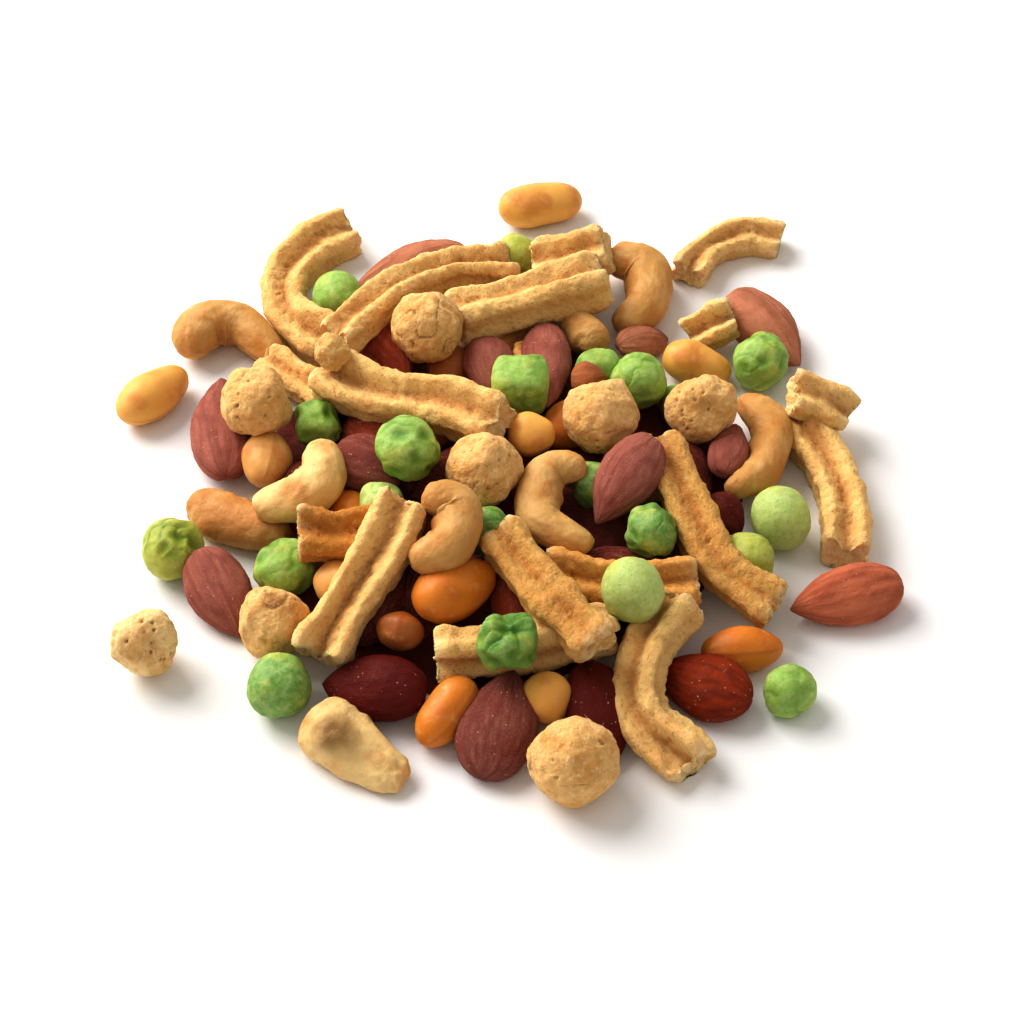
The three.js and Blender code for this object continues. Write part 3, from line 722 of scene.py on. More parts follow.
class Finish:
    """One material, with its nodes and the colour that it has so far."""

    def __init__(self, name):
        self.material = bpy.data.materials.new(name)
        self.material.use_nodes = True
        self.nodes = self.material.node_tree.nodes
        self.links = self.material.node_tree.links
        self.shader = self.nodes["Principled BSDF"]
        self.place = self.fact("grain", "Vector")
        self.colour = self.fact("tone", "Color")

    def node(self, kind, settings=None, values=None, output=0):
        """Adds a node: its settings first, then the values or wires of its sockets."""
        made = self.nodes.new(kind)
        for name, setting in (settings or {}).items():
            setattr(made, name, setting)
        for name, value in (values or {}).items():
            if isinstance(value, Wire):
                self.links.new(value.socket, made.inputs[name])
            else:
                made.inputs[name].default_value = value
        return Wire(self, made.outputs[output])

    def fact(self, name, output="Fac"):
        return self.node("ShaderNodeAttribute", {"attribute_name": name}, output=output)

    def noise(self, size, detail=2.0, roughness=0.5, place=None):
        """Noise from 0 to 1 with bumps of about this size, in millimetres."""
        values = {"Vector": place or self.place, "Scale": 1 / size, "Detail": detail, "Roughness": roughness}
        return self.node("ShaderNodeTexNoise", {}, values, "Fac")

    def dots(self, size):
        """How far the nearest strewn dot is, as a share of the size."""
        values = {"Vector": self.place, "Scale": 1 / size}
        return self.node("ShaderNodeTexVoronoi", {}, values, "Distance")

    def drawn_out(self, x, y, z):
        """The place squeezed along its axes, so that a texture there is drawn out."""
        return self.node("ShaderNodeVectorMath", {"operation": "MULTIPLY"}, {0: self.place, 1: (x, y, z)})

    def between(self, value, low, high, to_low=0.0, to_high=1.0):
        """Turns the stretch from low to high into one from to_low to to_high, softly."""
        values = {"Value": value, "From Min": low, "From Max": high, "To Min": to_low, "To Max": to_high}
        return self.node("ShaderNodeMapRange", {"interpolation_type": "SMOOTHSTEP"}, values)

    def clouds(self, size, low, high, detail=2.0):
        """1 in soft clouds of about this size, where the noise is high, and 0 elsewhere."""
        return self.between(self.noise(size, detail), low, high)

    def tint(self, share, hex_colour):
        """Draws the colour towards another one by this share."""
        values = {MIX_SHARE: share, MIX_FIRST: self.colour, MIX_SECOND: linear(hex_colour)}
        self.colour = self.node("ShaderNodeMix", {"data_type": "RGBA"}, values, MIX_RESULT)

    def finish(self, roughness, height, depth, **fixed):
        """Links what varies, and sets what doesn't on the shader's own sockets."""
        normal = self.node("ShaderNodeBump", {}, {"Height": height, "Distance": depth * MM})
        for name, value in (("Base Color", self.colour), ("Roughness", roughness), ("Normal", normal)):
            self.links.new(value.socket, self.shader.inputs[name])
        for name, value in fixed.items():
            socket = name.replace("_", " ").title().replace("Ior", "IOR")
            self.shader.inputs[socket].default_value = value
        return self.material


# %% [markdown]
# ## Baked sticks
#
# Dough pressed through a shaped hole and cut off: a bar with a channel along its top and bottom,
# shallower hollows along its sides, and ragged, paler cut ends. A bevelled curve would give the bar
# its outline, but not a channel that gets deeper and shallower along the way. So the outline is
# twelve corners with a smooth line through them, worked out anew for each ring. Corner 0 is the
# middle of the top, 3 and 9 are the sides and 6 is the middle of the bottom.

# %% The outline of a stick
STICK_CORNERS = np.array([[0, 1], [0.6, 1], [1, 0.62], [1, 0], [1, -0.62], [0.6, -1],
                          [0, -1], [-0.6, -1], [-1, -0.62], [-1, 0], [-1, 0.62], [-0.6, 1]])
STICK_CHANNELS = ((0, 1, 1), (6, -1, 0.45))  # the corner that sinks, which way it faces, its share
STICK_SIDE_CORNERS = (3, 9)
STICK_EDGE_CORNERS = (1, 5, 7, 11)
STICK_GROOVE = 1.7  # how deep the channel is, in millimetres
STICK_HOLLOW = 0.5  # and the hollow along the sides
# By what share these change on the way, and over what length
GROOVE_CHANGE, HOLLOW_CHANGE, EDGE_CHANGE, WANDER = (0.45, 6), (0.8, 8), (0.07, 4.5), (0.12, 7)
GROOVE_AT_END = (0.5, 3)  # how much deeper the channel is where the stick was cut


def ring_weights(corners, sides):
    """How much each corner counts at each place on a smooth closed line through them."""
    place = np.arange(sides) / sides * corners
    first = place.astype(int)
    weights = np.zeros((sides, corners))
    for step, part in enumerate(blend_weights(place - first)):
        weights[np.arange(sides), (first + step - 1) % corners] += part
    return weights


def stick_outline(piece, track, from_end, sides):
    """The outline of each ring, from -1 to 1 each way."""
    corners, number = np.tile(STICK_CORNERS, (len(track), 1, 1)), piece["number"]
    deeper, over = GROOVE_AT_END
    for corner, side, share in STICK_CHANNELS:
        depth = share * STICK_GROOVE * piece["groove"] * (1 + deeper * np.exp(-from_end / over))
        depth = depth * (1 + bumps(track, GROOVE_CHANGE, number + 20 + corner))
        corners[:, corner, 1] = side * (1 - 2 * depth / piece["height"])
        corners[:, corner, 0] = bumps(track, WANDER, number + 50)
    for corner in STICK_SIDE_CORNERS:
        depth = STICK_HOLLOW * (1 + bumps(track, HOLLOW_CHANGE, number + 30 + corner))
        corners[:, corner, 0] *= 1 - 2 * depth / piece["width"]
    for corner in STICK_EDGE_CORNERS:
        corners[:, corner, 1] *= 1 + bumps(track, EDGE_CHANGE, number + 40 + corner)
    return np.einsum("sc,rcd->rsd", ring_weights(len(STICK_CORNERS), sides), corners)


# %% The shape of a stick
STICK_SIDES = 84
STICK_STEP = 0.62  # the distance from ring to ring
STICK_FEWEST = 12  # rings
STICK_COARSER = 1.5  # how much coarser a strewn stick's mesh is
STICK_CAP = (0.12, 0.3, 0.5, 0.68, 0.83, 0.93)  # the sizes of the rings on a cut end
STICK_ROUNDED = (0.1, 0.5)  # how much a cut edge draws in, and over what length
STICK_SWOLLEN = (0.07, 2.5)  # how much a stick swells behind it, and how far from the end
STICK_DISH = 0.9  # how deep a cut end is hollowed
STICK_RAGGED = (0.35, 1.6)  # how high the end's crumbs are, and how wide
STICK_SLANT = (0.16, 2.0)  # how far from square it is cut, and over what length that fades
STICK_PALE_END = 1.3  # over what length a cut end is paler
STICK_SWAY, STICK_SWAYS = 0.06, 9  # how much a stick's thickness goes up and down, and how often
STICK_UNEVEN = (0.05, 5)  # and how unevenly, over what length
STICK_LUMPS, STICK_CRUMBS, STICK_FLOOR = (0.3, 2.5), (0.2, 1.1), (0.5, 1.3)  # how high and how wide
STICK_PIT, STICK_FLOOR_PIT = 0.16, 0.45  # how deep pits are, and how much deeper in the channel
STICK_PITS = (1.5, 0.55, 0.15)  # their spacing, and the reach of their rims and floors
CHANNEL_WIDTH, CHANNEL_RIM, CHANNEL_DEPTH = 0.42, 0.98, 0.3  # as shares of the outline
TRACK_SHIFT = 7.1  # takes each stick to another part of the noise


def stick_shape(piece):
    length, number = length_of(piece), piece["number"]
    coarser = STICK_COARSER if "strewn" in piece else 1
    bar = np.linspace(0, 1, max(STICK_FEWEST, int(length / STICK_STEP / coarser)))
    cap, on_cap, on_bar = np.array(STICK_CAP), np.ones(len(STICK_CAP)), np.ones(len(bar))
    along = np.concatenate([0 * on_cap, bar, on_cap])
    scale = np.concatenate([cap, on_bar, cap[::-1]])
    inwards = np.concatenate([on_cap, 0 * on_bar, -on_cap])[:, None]
    from_end = np.minimum(along, 1 - along) * length
    draw, draw_over = STICK_ROUNDED
    swell, swell_at = STICK_SWOLLEN
    scale = scale * (1 - draw * np.exp(-from_end / draw_over))
    scale = scale * (1 + swell * np.exp(-(((from_end - swell_at) / swell_at) ** 2)))
    track = np.column_stack([np.full(len(along), number * TRACK_SHIFT), 0 * along, along * length])
    sway = STICK_SWAY * np.sin(STICK_SWAYS * along + number)
    scale = scale * (1 + sway + bumps(track, STICK_UNEVEN, number))

    outline = stick_outline(piece, track, from_end, int(STICK_SIDES / coarser))
    x = outline[..., 0] * piece["width"] / 2 * scale[:, None]
    y = outline[..., 1] * piece["height"] / 2 * scale[:, None]
    # A cut end is a shallow, ragged dish.
    dish = STICK_DISH * (1 - np.minimum(scale, 1) ** 2)[:, None] * inwards
    flat = np.stack([x, y, np.broadcast_to((along * length)[:, None], x.shape)], axis=-1)
    ragged = inwards * bumps(flat, STICK_RAGGED, number + 60, 3)
    tilt, tilt_over = STICK_SLANT
    slant = np.where(along < 0.5, 1, -1)[:, None] * tilt * np.exp(-from_end / tilt_over)[:, None]
    slant = slant * (x * math.sin(number) + y * math.cos(number))
    vertices = laid_along(piece, along, x, y, dish + ragged + slant)
    triangles = tube(*x.shape)
    grain = straightened(x, y, along * length)
    # The channel, and below it the pits, are marked; the finish darkens them as painted shade.
    in_groove = smooth_step(CHANNEL_WIDTH - np.abs(outline[..., 0]), 0, CHANNEL_WIDTH)
    in_groove = in_groove * smooth_step(CHANNEL_RIM - np.abs(outline[..., 1]), 0, CHANNEL_DEPTH)
    mark = closed(in_groove * (inwards == 0))
    # Crumbly lumps all over, and pits that are deepest in the channel.
    pits = hollows(grain, *STICK_PITS, number)
    relief = bumps(grain, STICK_LUMPS, number + 70, 3) + bumps(grain, STICK_CRUMBS, number + 80, 2)
    relief = relief + np.abs(bumps(grain, STICK_FLOOR, number + 90)) * piece["groove"] * mark
    relief = relief - pits * (STICK_PIT + STICK_FLOOR_PIT * mark)
    at_end = ringwise(np.exp(-from_end / STICK_PALE_END), x)
    mark = np.clip(mark + 0.5 * pits, 0, 1)
    return raised(vertices, triangles, relief), triangles, grain, mark, at_end


STICK_TONES = {"golden": "#efca88", "toasted": "#dda65a", "browned": "#d2a660", "orange": "#c3893a"}
sticks = gathered("stick", stick_shape, STICK_TONES)

# %% [markdown]
# The crust is golden, browner where it was toasted most, and paler where it was cut. It is darker
# down in the channel and in its pits, which is painted shade. Fine dark specks and a sandy bump
# finish it.

# %% The finish of the sticks
crust = Finish("baked_crust")
crust.tint(crust.clouds(7, 0.42, 0.66) * 0.32, "#cf8d45")
# Painted shade: darker brown down in the channel and in the pits.
crust.tint(crust.fact("mark") * 0.6, "#b36c25")
crust.tint(crust.fact("own") * crust.clouds(2, 0.35, 0.6) * 0.75, "#f3dcae")
crust.tint(crust.clouds(0.55, 0.6, 0.7, 3) * 0.45, "#97571c")
crust.tint(crust.clouds(0.8, 0.56, 0.7) * 0.22, "#f6dfb0")
sand = crust.noise(0.45, 4, 0.6) + 1.6 * crust.noise(1.2, 3, 0.6)
crust_finish = crust.finish(crust.between(sand, 0.5, 2, 0.78, 0.98), sand, 0.3, **CRUST_GLOW)
sticks.build("baked_sticks", "baked_stick", crust_finish, ["heap", "stick_back_right"])

# %% [markdown]
# ## Coated peanuts
#
# A peanut in a baked flour coat is a rough ball. The coat dries with flat places, a few cracks and
# many small pores. Flat places come from cutting the ball by planes near its surface. The cut is
# softened, because a crust has no sharp edges.

# %% The shape of a coated peanut
BALL_STEPS = 32
BALL_BUMP = 0.6  # the large bumps, in millimetres
BALL_PLANES = 14
BALL_PLANES_AT = (0.82, 0.97)  # how far out the planes are, as a share of the ball's radius
BALL_CUT_REACH = 0.5  # a plane cuts where a direction is nearer to it than this cosine
BALL_SOFTNESS = 0.02  # over how much of the radius a cut is rounded
BALL_LUMPS, BALL_CRUMBS = (0.4, 3.4), (0.2, 1.2)  # how high they are and how wide
BALL_PORE, BALL_CRACK = 0.45, 0.25  # how deep they are
BALL_PORES, PORE_PATCHES = (2.0, 0.5, 0.15), (4, -0.3, 0.3)
BALL_CRACKS, CRACK_PATCHES = (5, 0.05), (9, 0, 0.4)


def ball_shape(piece):
    facing, triangles = ball_grid(BALL_STEPS)
    number = piece["number"]
    own_rng = np.random.default_rng(number)
    planes = unit(own_rng.normal(size=(BALL_PLANES, 3)))
    at = own_rng.uniform(*BALL_PLANES_AT, BALL_PLANES)
    towards = facing @ planes.T
    cut = np.where(towards > BALL_CUT_REACH, at / np.maximum(towards, BALL_CUT_REACH), FAR)
    near = np.exp(-cut / BALL_SOFTNESS).sum(axis=1) + np.exp(-1.0 / BALL_SOFTNESS)
    radius = uneven_ball(piece, facing, BALL_BUMP)
    radius = radius * (1 + piece["facets"] * (-BALL_SOFTNESS * np.log(near) - 1))
    grain = facing * radius[:, None] * half_size(piece)
    cracks = lines(grain, *BALL_CRACKS, number + 45) * patches(grain, *CRACK_PATCHES, number + 46)
    pores = hollows(grain, *BALL_PORES, number) * patches(grain, *PORE_PATCHES, number + 8)
    relief = bumps(grain, BALL_LUMPS, number + 10, 2) + bumps(grain, BALL_CRUMBS, number + 20, 2)
    relief = relief - BALL_PORE * pores - BALL_CRACK * cracks
    vertices = piece["points"][0] + grain + facing * relief[:, None]
    # Pores and cracks are marked; the finish darkens them as painted shade.
    return vertices, triangles, grain, np.clip(pores + cracks, 0, 1)


BALL_TONES = {"crumb": "#ebc183", "crust": "#ecc585", "pale": "#f5d69e"}
balls = gathered("ball", ball_shape, BALL_TONES)

# %% [markdown]
# The coat is the palest of the baked things. It has soft browner clouds and a dusting of flour, and
# it doesn't shine at all. Its pores and cracks are darker, which is painted shade.

# %% The finish of the coated peanuts
coat = Finish("flour_coat")
coat.tint(coat.clouds(6, 0.45, 0.7) * 0.6, "#cf9850")
coat.tint(coat.clouds(1.3, 0.5, 0.68, 3) * 0.35, "#c58a3c")
# Painted shade: darker in the pores and cracks.
coat.tint(coat.fact("mark") * 0.75, "#8f5c28")
coat.tint(coat.clouds(0.7, 0.55, 0.7, 3) * 0.45, "#f7e3b8")
crumb = coat.noise(0.6, 4, 0.65) + 1.2 * coat.noise(1.5, 3, 0.6)
coat_finish = coat.finish(coat.between(crumb, 0.5, 1.7, 0.85, 1.0), crumb, 0.36, **CRUST_GLOW)
balls.build("coated_peanuts", "coated_peanut", coat_finish, ["heap", "ball_left"])

# %% [markdown]
# ## Roasted peas
#
# A pea that dries shrinks under its skin, which sinks into dimples with narrow ridges between them.
# The distance to strewn dots has just that form: a round hollow at each dot, and an edge where two
# dots are equally far. Some peas stay nearly smooth, so each has its own strength. A pea that was
# pressed by its neighbours in the pod is a rounded box.

# %% The shape of a pea
PEA_STEPS, PEA_STEPS_STREWN = 25, 16
PEA_PUCKER = 0.5  # the large puckers, in millimetres
PEA_DIMPLE = 0.7  # how deep the dimples are, with ridges between them
PEA_CREASE = 0.2  # how deep the fine creases are
PEA_DENT = 0.5  # how deep the broad dents are
PEA_BULGE = 0.3  # how far the skin stands out between all these
PEA_WARP = (0.9, 3.0)  # how far the dimples are pulled out of shape, and over what length
PEA_DIMPLES, PEA_DENTS = (4.4, 2.5, 0.3), (5, 0.0, 0.7)
PEA_CREASES, CREASE_PATCHES = (2.8, 0.22), (6, -0.35, 0.25)
PEA_GRAINS, PEA_WAVES = (0.06, 1.1), (0.1, 3.5)  # how high they are and how wide
BOX_POWER = 5  # the higher, the squarer the box
BOX_SIZE = 0.9632  # of the ball's


def pea_shape(piece):
    facing, triangles = ball_grid(PEA_STEPS_STREWN if "strewn" in piece else PEA_STEPS)
    number, wrinkle = piece["number"], piece["wrinkle"]
    box = BOX_SIZE * (np.abs(facing) ** BOX_POWER).sum(axis=1) ** (-1 / BOX_POWER)
    radius = uneven_ball(piece, facing, PEA_PUCKER) * (1 + piece["boxy"] * (box - 1))
    grain = facing * radius[:, None] * half_size(piece)
    warped = grain + np.stack([bumps(grain, PEA_WARP, number + axis) for axis in range(3)], axis=-1)
    dimple = hollows(warped, *PEA_DIMPLES, number + 11)
    dent = patches(grain, *PEA_DENTS, number + 13)
    crease = lines(warped, *PEA_CREASES, number + 12) * patches(grain, *CREASE_PATCHES, number + 14)
    relief = wrinkle * (PEA_BULGE - PEA_DIMPLE * dimple - PEA_CREASE * crease - PEA_DENT * dent)
    relief = relief + bumps(grain, PEA_GRAINS, number + 30, 2) + bumps(grain, PEA_WAVES, number + 31)
    vertices = piece["points"][0] + grain + facing * relief[:, None]
    # Creases, dimples and dents are marked; the finish darkens them as painted shade.
    return vertices, triangles, grain, np.clip((0.5 * crease + 0.6 * dimple + 0.3 * dent) * wrinkle, 0, 1)


PEA_TONES = {"bright": "#93b84f", "leaf": "#729f44", "pale": "#b7c874", "lime": "#b3b640"}
peas = gathered("pea", pea_shape, PEA_TONES)

# %% [markdown]
# The skin has yellower patches and is dusty pale on the bulges. The dust stays off the creases,
# dimples and dents, which are deep green: that is painted shade. It has a dull sheen, so it is less
# rough than the baked coats.

# %% The finish of the peas
skin = Finish("pea_skin")
skin.tint(skin.clouds(5, 0.5, 0.72) * 0.6, "#c0c24a")
# The dust stays off the creases, which are left to the painted shade below.
dust = skin.between(skin.noise(1.4, 4, 0.65), 0.3, 0.8) * (1 - skin.fact("mark"))
skin.tint(dust * 0.5, "#dde6aa")
# Painted shade: deep green down in the creases, dimples and dents.
skin.tint(skin.fact("mark") * 0.75, "#4a7614")
skin.tint(skin.clouds(0.5, 0.6, 0.72) * 0.3, "#587f22")
skin_finish = skin.finish(skin.between(dust, 0, 1, 0.5, 0.8), skin.noise(0.5, 4, 0.6), 0.12, **PEA_GLOW)
peas.build("roasted_peas", "roasted_pea", skin_finish, ["heap", "pea_right", "pea_front_left"])

# %% [markdown]
# ## Almonds
#
# A drop shape, flattened, with a blunt base and a pointed tip. The skin is drawn in long furrows that
# run together at both ends. The furrows are noise that is stretched along the nut: their place around
# the nut counts, and their place along it hardly does.

# %% The rings of a nut
def nut_rings(piece, rings, sides):
    """Places along a nut, closer together towards its ends, and the angles round it there."""
    if "strewn" in piece:
        rings, sides = rings * 5 // 8, sides * 5 // 8
    along = (1 - np.cos(math.pi * (np.arange(rings) + 0.35) / (rings - 0.3))) / 2
    return along, np.tile(np.arange(sides) / sides * 2 * math.pi, (rings, 1))


def nut_outline(piece, share, angle):
    """Where a nut's rings reach across and up, for its share of the full thickness at each ring."""
    x = share[:, None] * np.cos(angle) * piece["width"] / 2
    return x, share[:, None] * np.sin(angle) * piece["height"] / 2


def fading(share):
    """1 along most of a nut and 0 at its ends, where it is thin."""
    return smooth_step(share, 0.2, 0.6)[:, None]


def turned_from(angle, other):
    """How far an angle is from another one, either way."""
    return np.abs((angle - other + math.pi) % (2 * math.pi) - math.pi)


# %% The shape of an almond
ALMOND_RINGS, ALMOND_SIDES = 44, 72
ALMOND_DRAWN = np.array([1, 1, 0.16])  # the furrows hardly change along the nut
ALMOND_LEAN = (0.6, 6)  # how far they lean sideways, and over what length
ALMOND_FURROW, THIN_FURROW = 0.13, 0.07  # how deep they are
ALMOND_FURROWS, THIN_FURROWS = (1.7, 0.3), (0.85, 0.3)  # how far apart, and how wide in the noise
ALMOND_WAVES, ALMOND_GRAINS = (0.35, 6), (0.09, 1.1)  # how high they are and how wide


def almond_shape(piece):
    along, angle = nut_rings(piece, ALMOND_RINGS, ALMOND_SIDES)
    number = piece["number"]
    share = np.sin(math.pi * along**DROP) ** (0.5 + 0.28 * along)
    x, y = nut_outline(piece, share, angle)
    vertices = laid_along(piece, along, x * piece["broad"], y)
    # Furrows that run together need a place that keeps its full width up to the ends.
    full_x, full_y = nut_outline(piece, np.ones_like(share), angle)
    grain = straightened(full_x, full_y, along * length_of(piece))
    grain[[0, -1], :2] = 0
    drawn = grain * ALMOND_DRAWN + bumps(grain, ALMOND_LEAN, number)[:, None] * np.array([1, 1, 0])
    furrow, thin = lines(drawn, *ALMOND_FURROWS, number + 3), lines(drawn, *THIN_FURROWS, number + 4)
    relief = -ALMOND_FURROW * furrow - THIN_FURROW * thin
    relief = relief + bumps(grain, ALMOND_GRAINS, number + 6, 2) + bumps(grain, ALMOND_WAVES, number + 9)
    relief = relief * ringwise(smooth_step(share, 0.0, 0.45), x)
    triangles = tube(*x.shape)
    # Furrows are marked; the finish darkens them, partly as the skin's streaks and partly as painted shade.
    mark = np.clip(0.75 * furrow + 0.35 * thin, 0, 1)
    return raised(vertices, triangles, relief), triangles, grain, mark, piece["gloss"]


ALMOND_TONES = {"dusty": "#a86658", "plum": "#84463d", "dark": "#6a190f", "red": "#9b3a11",
                "rosy": "#c48464", "ruddy": "#cb7552", "tawny": "#b3713f"}
almonds = gathered("almond", almond_shape, ALMOND_TONES)

# %% [markdown]
# The skin is red-brown, and dark in its furrows, partly its own streaks and partly painted shade.
# The ridges between them carry a pale, dusty bloom, and here and there a grain of salt. A few
# almonds have lost their dust and shine a little.

# %% The finish of the almonds
brown = Finish("almond_brown")
drawn = brown.drawn_out(1, 1, 0.3)
mark, dull = brown.fact("mark"), 1 - brown.fact("own")
streak = brown.between(brown.noise(0.9, 4, 0.6, drawn), 0.35, 0.8) * (1 - mark)
dust = brown.between(brown.noise(0.4, 4, 0.7), 0.4, 0.75)
bloom = streak * 0.5 + dust * 0.5
brown.tint(bloom * (dull * 0.5 + 0.01), "#d9a28a")
# Dark in the furrows: partly the skin's own streaks, partly painted shade.
brown.tint(mark * (0.62 - dull * 0.3), "#5a150c")
brown.tint(brown.clouds(6, 0.5, 0.7) * dull * 0.35, "#83382a")
salt = brown.between(brown.dots(1.2), 0.2, 0.1) * brown.clouds(4, 0.48, 0.62)
brown.tint(salt * 0.6, "#e8c8b8")
ridges = brown.noise(0.5, 3, 0.6, drawn) + dust * 0.4 + salt * 0.8
brown_finish = brown.finish(0.5 + dull * 0.28 + bloom * 0.1, ridges, 0.16, specular_ior_level=0.2)
almonds.build("almonds", "almond_skin", brown_finish, ["heap", "almond_right"])

# %% [markdown]
# ## Cashews
#
# A bent nut, fat at one end and slimmer at the other. A fine seam runs along the inside of the bend,
# where the two halves meet, with a small navel halfway. The inside is found from the middle line: it
# is the side that the line bends towards. The pale one in front is a half, with a broad hollow in
# its face and a crumbled tip.

# %% The shape of a cashew
CASHEW_RINGS, CASHEW_SIDES = 60, 60
CASHEW_WAIST = (0.05, 0.12)  # how much slimmer it is halfway, and over what share of it
CASHEW_SEAM, CASHEW_NAVEL = 0.32, 0.8  # how deep they are
CASHEW_SEAM_WIDTH = 0.28  # as an angle round the nut
NAVEL_WIDTH, NAVEL_RADIUS = (2.6, 0.4), 3  # its rim and its floor, and the nut's radius there
CASHEW_WAVES, CASHEW_DENTS, CASHEW_GRAINS = (0.45, 6), (0.2, 2.4), (0.14, 1.2)  # how high, how wide
HOLLOW_ALONG, HOLLOW_TURN = 0.44, math.pi / 2 - 0.15  # where the half's hollow lies on its face
HOLLOW_REACH = (6.6, 1.0)  # from how far out it sinks, and how wide its floor is
CRUMBLED_ALONG = (0.72, 0.92)
CRUMBLED = (0.55, 1.9)  # how high the tip's crumbs are, and how wide


def cashew_shape(piece):
    along, angle = nut_rings(piece, CASHEW_RINGS, CASHEW_SIDES)
    length, number = length_of(piece), piece["number"]
    waist, waist_over = CASHEW_WAIST
    share = thickness(piece, along) * (1 - waist * np.exp(-(((along - 0.5) / waist_over) ** 2)))
    x, y = nut_outline(piece, share, angle)
    middle, _, across, up = directions(piece["points"], along, piece["turn"])
    bend = middle[0] + middle[-1] - 2 * middle[len(along) // 2]
    off_seam = turned_from(angle, np.arctan2(up @ bend, across @ bend)[:, None])
    triangles = tube(*x.shape)
    grain = straightened(x, y, along * length)
    seam = closed(smooth_step(off_seam, CASHEW_SEAM_WIDTH, 0.0) * fading(share))
    off_navel = np.hypot(off_seam * NAVEL_RADIUS, (along[:, None] - 0.5) * length)
    navel = closed(smooth_step(off_navel, *NAVEL_WIDTH))
    relief = -CASHEW_SEAM * seam - CASHEW_NAVEL * navel + bumps(grain, CASHEW_WAVES, number)
    relief = relief + bumps(grain, CASHEW_DENTS, number + 1) + bumps(grain, CASHEW_GRAINS, number + 2, 2)
    hollow = 0.0
    if "hollow" in piece:
        off_middle = turned_from(angle, HOLLOW_TURN) * piece["width"] / 2
        away = np.hypot(off_middle, (along[:, None] - HOLLOW_ALONG) * length)
        hollow = closed(smooth_step(away, *HOLLOW_REACH))
        crumbled = ringwise(smooth_step(along, *CRUMBLED_ALONG), x)
        relief = relief - piece["hollow"] * hollow + crumbled * bumps(grain, CRUMBLED, number + 3, 3)
    vertices = raised(laid_along(piece, along, x, y), triangles, relief)
    # The hollow goes along as well, for the painted shade that the finish puts in it.
    return vertices, triangles, grain, np.clip(0.6 * seam + 0.9 * navel, 0, 1), hollow


CASHEW_TONES = {"tan": "#cb9b58", "golden": "#d9ae6d", "cream": "#f0cb8c", "toasted": "#c58c4b",
                "straw": "#e6c78c"}
cashews = gathered("cashew", cashew_shape, CASHEW_TONES)

# %% [markdown]
# Roasted cashews are satin smooth: cream where they stayed pale, with clouds of toasted tan. The
# half's hollow is painted brown, which is painted shade.

# %% The finish of the cashews
satin = Finish("cashew_satin")
satin.tint(satin.clouds(6, 0.45, 0.7, 3) * 0.65, "#c98638")
satin.tint(satin.clouds(4, 0.42, 0.8, 3) * 0.3, "#f6dca6")
satin.tint(satin.fact("mark") * 0.65, "#a8682c")
# Painted shade: the half's hollow is darkened brown.
hollow_shade = satin.between(satin.noise(2.2, 3), 0.2, 0.6, 0.55, 1.0)
satin.tint(satin.fact("own") * hollow_shade * 0.85, "#80540c")
satin.tint(satin.clouds(0.5, 0.66, 0.76) * 0.3, "#a5652c")
grainy = satin.noise(0.7, 3, 0.55)
satin_finish = satin.finish(satin.between(grainy, 0, 1, 0.5, 0.75), grainy, 0.18, **NUT_GLOW)
cashews.build("cashews", "cashew", satin_finish, ["heap", "cashew_front"])

# %% [markdown]
# ## Peanuts
#
# A shelled, skinless peanut is a smooth egg with a faint seam all round, where it would split, and a
# small knob at one end.

# %% The shape of a peanut
PEANUT_RINGS, PEANUT_SIDES = 44, 56
PEANUT_UNEVEN = 0.06  # how much fatter one half is
PEANUT_KNOB = (0.5, 1.2)  # how far it stands out, and how long it is
PEANUT_SEAM, PEANUT_SEAM_WIDTH = 0.14, 0.16  # how deep it is, and how wide as an angle
PEANUT_WAVES, PEANUT_DENTS = (0.25, 5), (0.1, 2.2)  # how high they are and how wide


def peanut_shape(piece):
    along, angle = nut_rings(piece, PEANUT_RINGS, PEANUT_SIDES)
    length, number = length_of(piece), piece["number"]
    share = thickness(piece, along) * (1 + PEANUT_UNEVEN * np.sin(2 * math.pi * along + number))
    x, y = nut_outline(piece, share, angle)
    stands_out, knob_length = PEANUT_KNOB
    knob = stands_out * np.exp(-(((1 - along) * length / knob_length) ** 2)) * (1 - share)
    triangles = tube(*x.shape)
    grain = straightened(x, y, along * length)
    off_seam = turned_from(angle * 2, -number) / 2
    seam = closed(smooth_step(off_seam, PEANUT_SEAM_WIDTH, 0.0) * fading(share))
    relief = bumps(grain, PEANUT_WAVES, number) + bumps(grain, PEANUT_DENTS, number + 1)
    relief = relief - PEANUT_SEAM * seam
    vertices = raised(laid_along(piece, along, x, y, knob[:, None]), triangles, relief)
    return vertices, triangles, grain, seam


# The pale tone is painted light: it brightens a peanut that lies low in the shade of its neighbours.
PEANUT_TONES = {"roasted": "#e9ba73", "yellow": "#eab560", "deep": "#db8928", "brown": "#b06a30",
                "pale": "#f5bf68"}
peanuts = gathered("peanut", peanut_shape, PEANUT_TONES)

# %% [markdown]
# Roasted in oil, they are orange tan, deeper in clouds, and have a soft shine.

# %% The finish of the peanuts
oiled = Finish("peanut_oiled")
oiled.tint(oiled.clouds(5, 0.45, 0.7, 3) * 0.55, "#c16a22")
oiled.tint(oiled.clouds(2.5, 0.52, 0.72, 3) * 0.35, "#f2c27c")
oiled.tint(oiled.fact("mark") * 0.4, "#a45c22")
grainy = oiled.noise(0.8, 3, 0.55)
oiled_finish = oiled.finish(oiled.between(grainy, 0, 1, 0.4, 0.6), grainy, 0.07, **NUT_GLOW)
peanuts.build("peanuts", "peanut", oiled_finish, ["heap", "peanut_left", "peanut_back"])

# %% [markdown]
# ## The bed
#
# Under everything lies a low, lumpy mound, which shows only between the pieces. Its dark red-brown
# is painted shade: it stands for the deep shadow in the gaps.

# %% The bed, dark with painted shade
BED_RINGS, BED_SIDES = 60, 200
BED_INNERMOST = 0.02  # where its innermost ring lies, as a share of its reach
BED_LUMPS, BED_CRUMBS = (2.2, 4.5), (0.5, 1.5)  # how high they are and how wide
BED_LOWERED = 1.2  # so that the lumps' middle height is the bed's
BED_EDGE = 0.08  # the share of its reach over which the lumps fade out at the rim


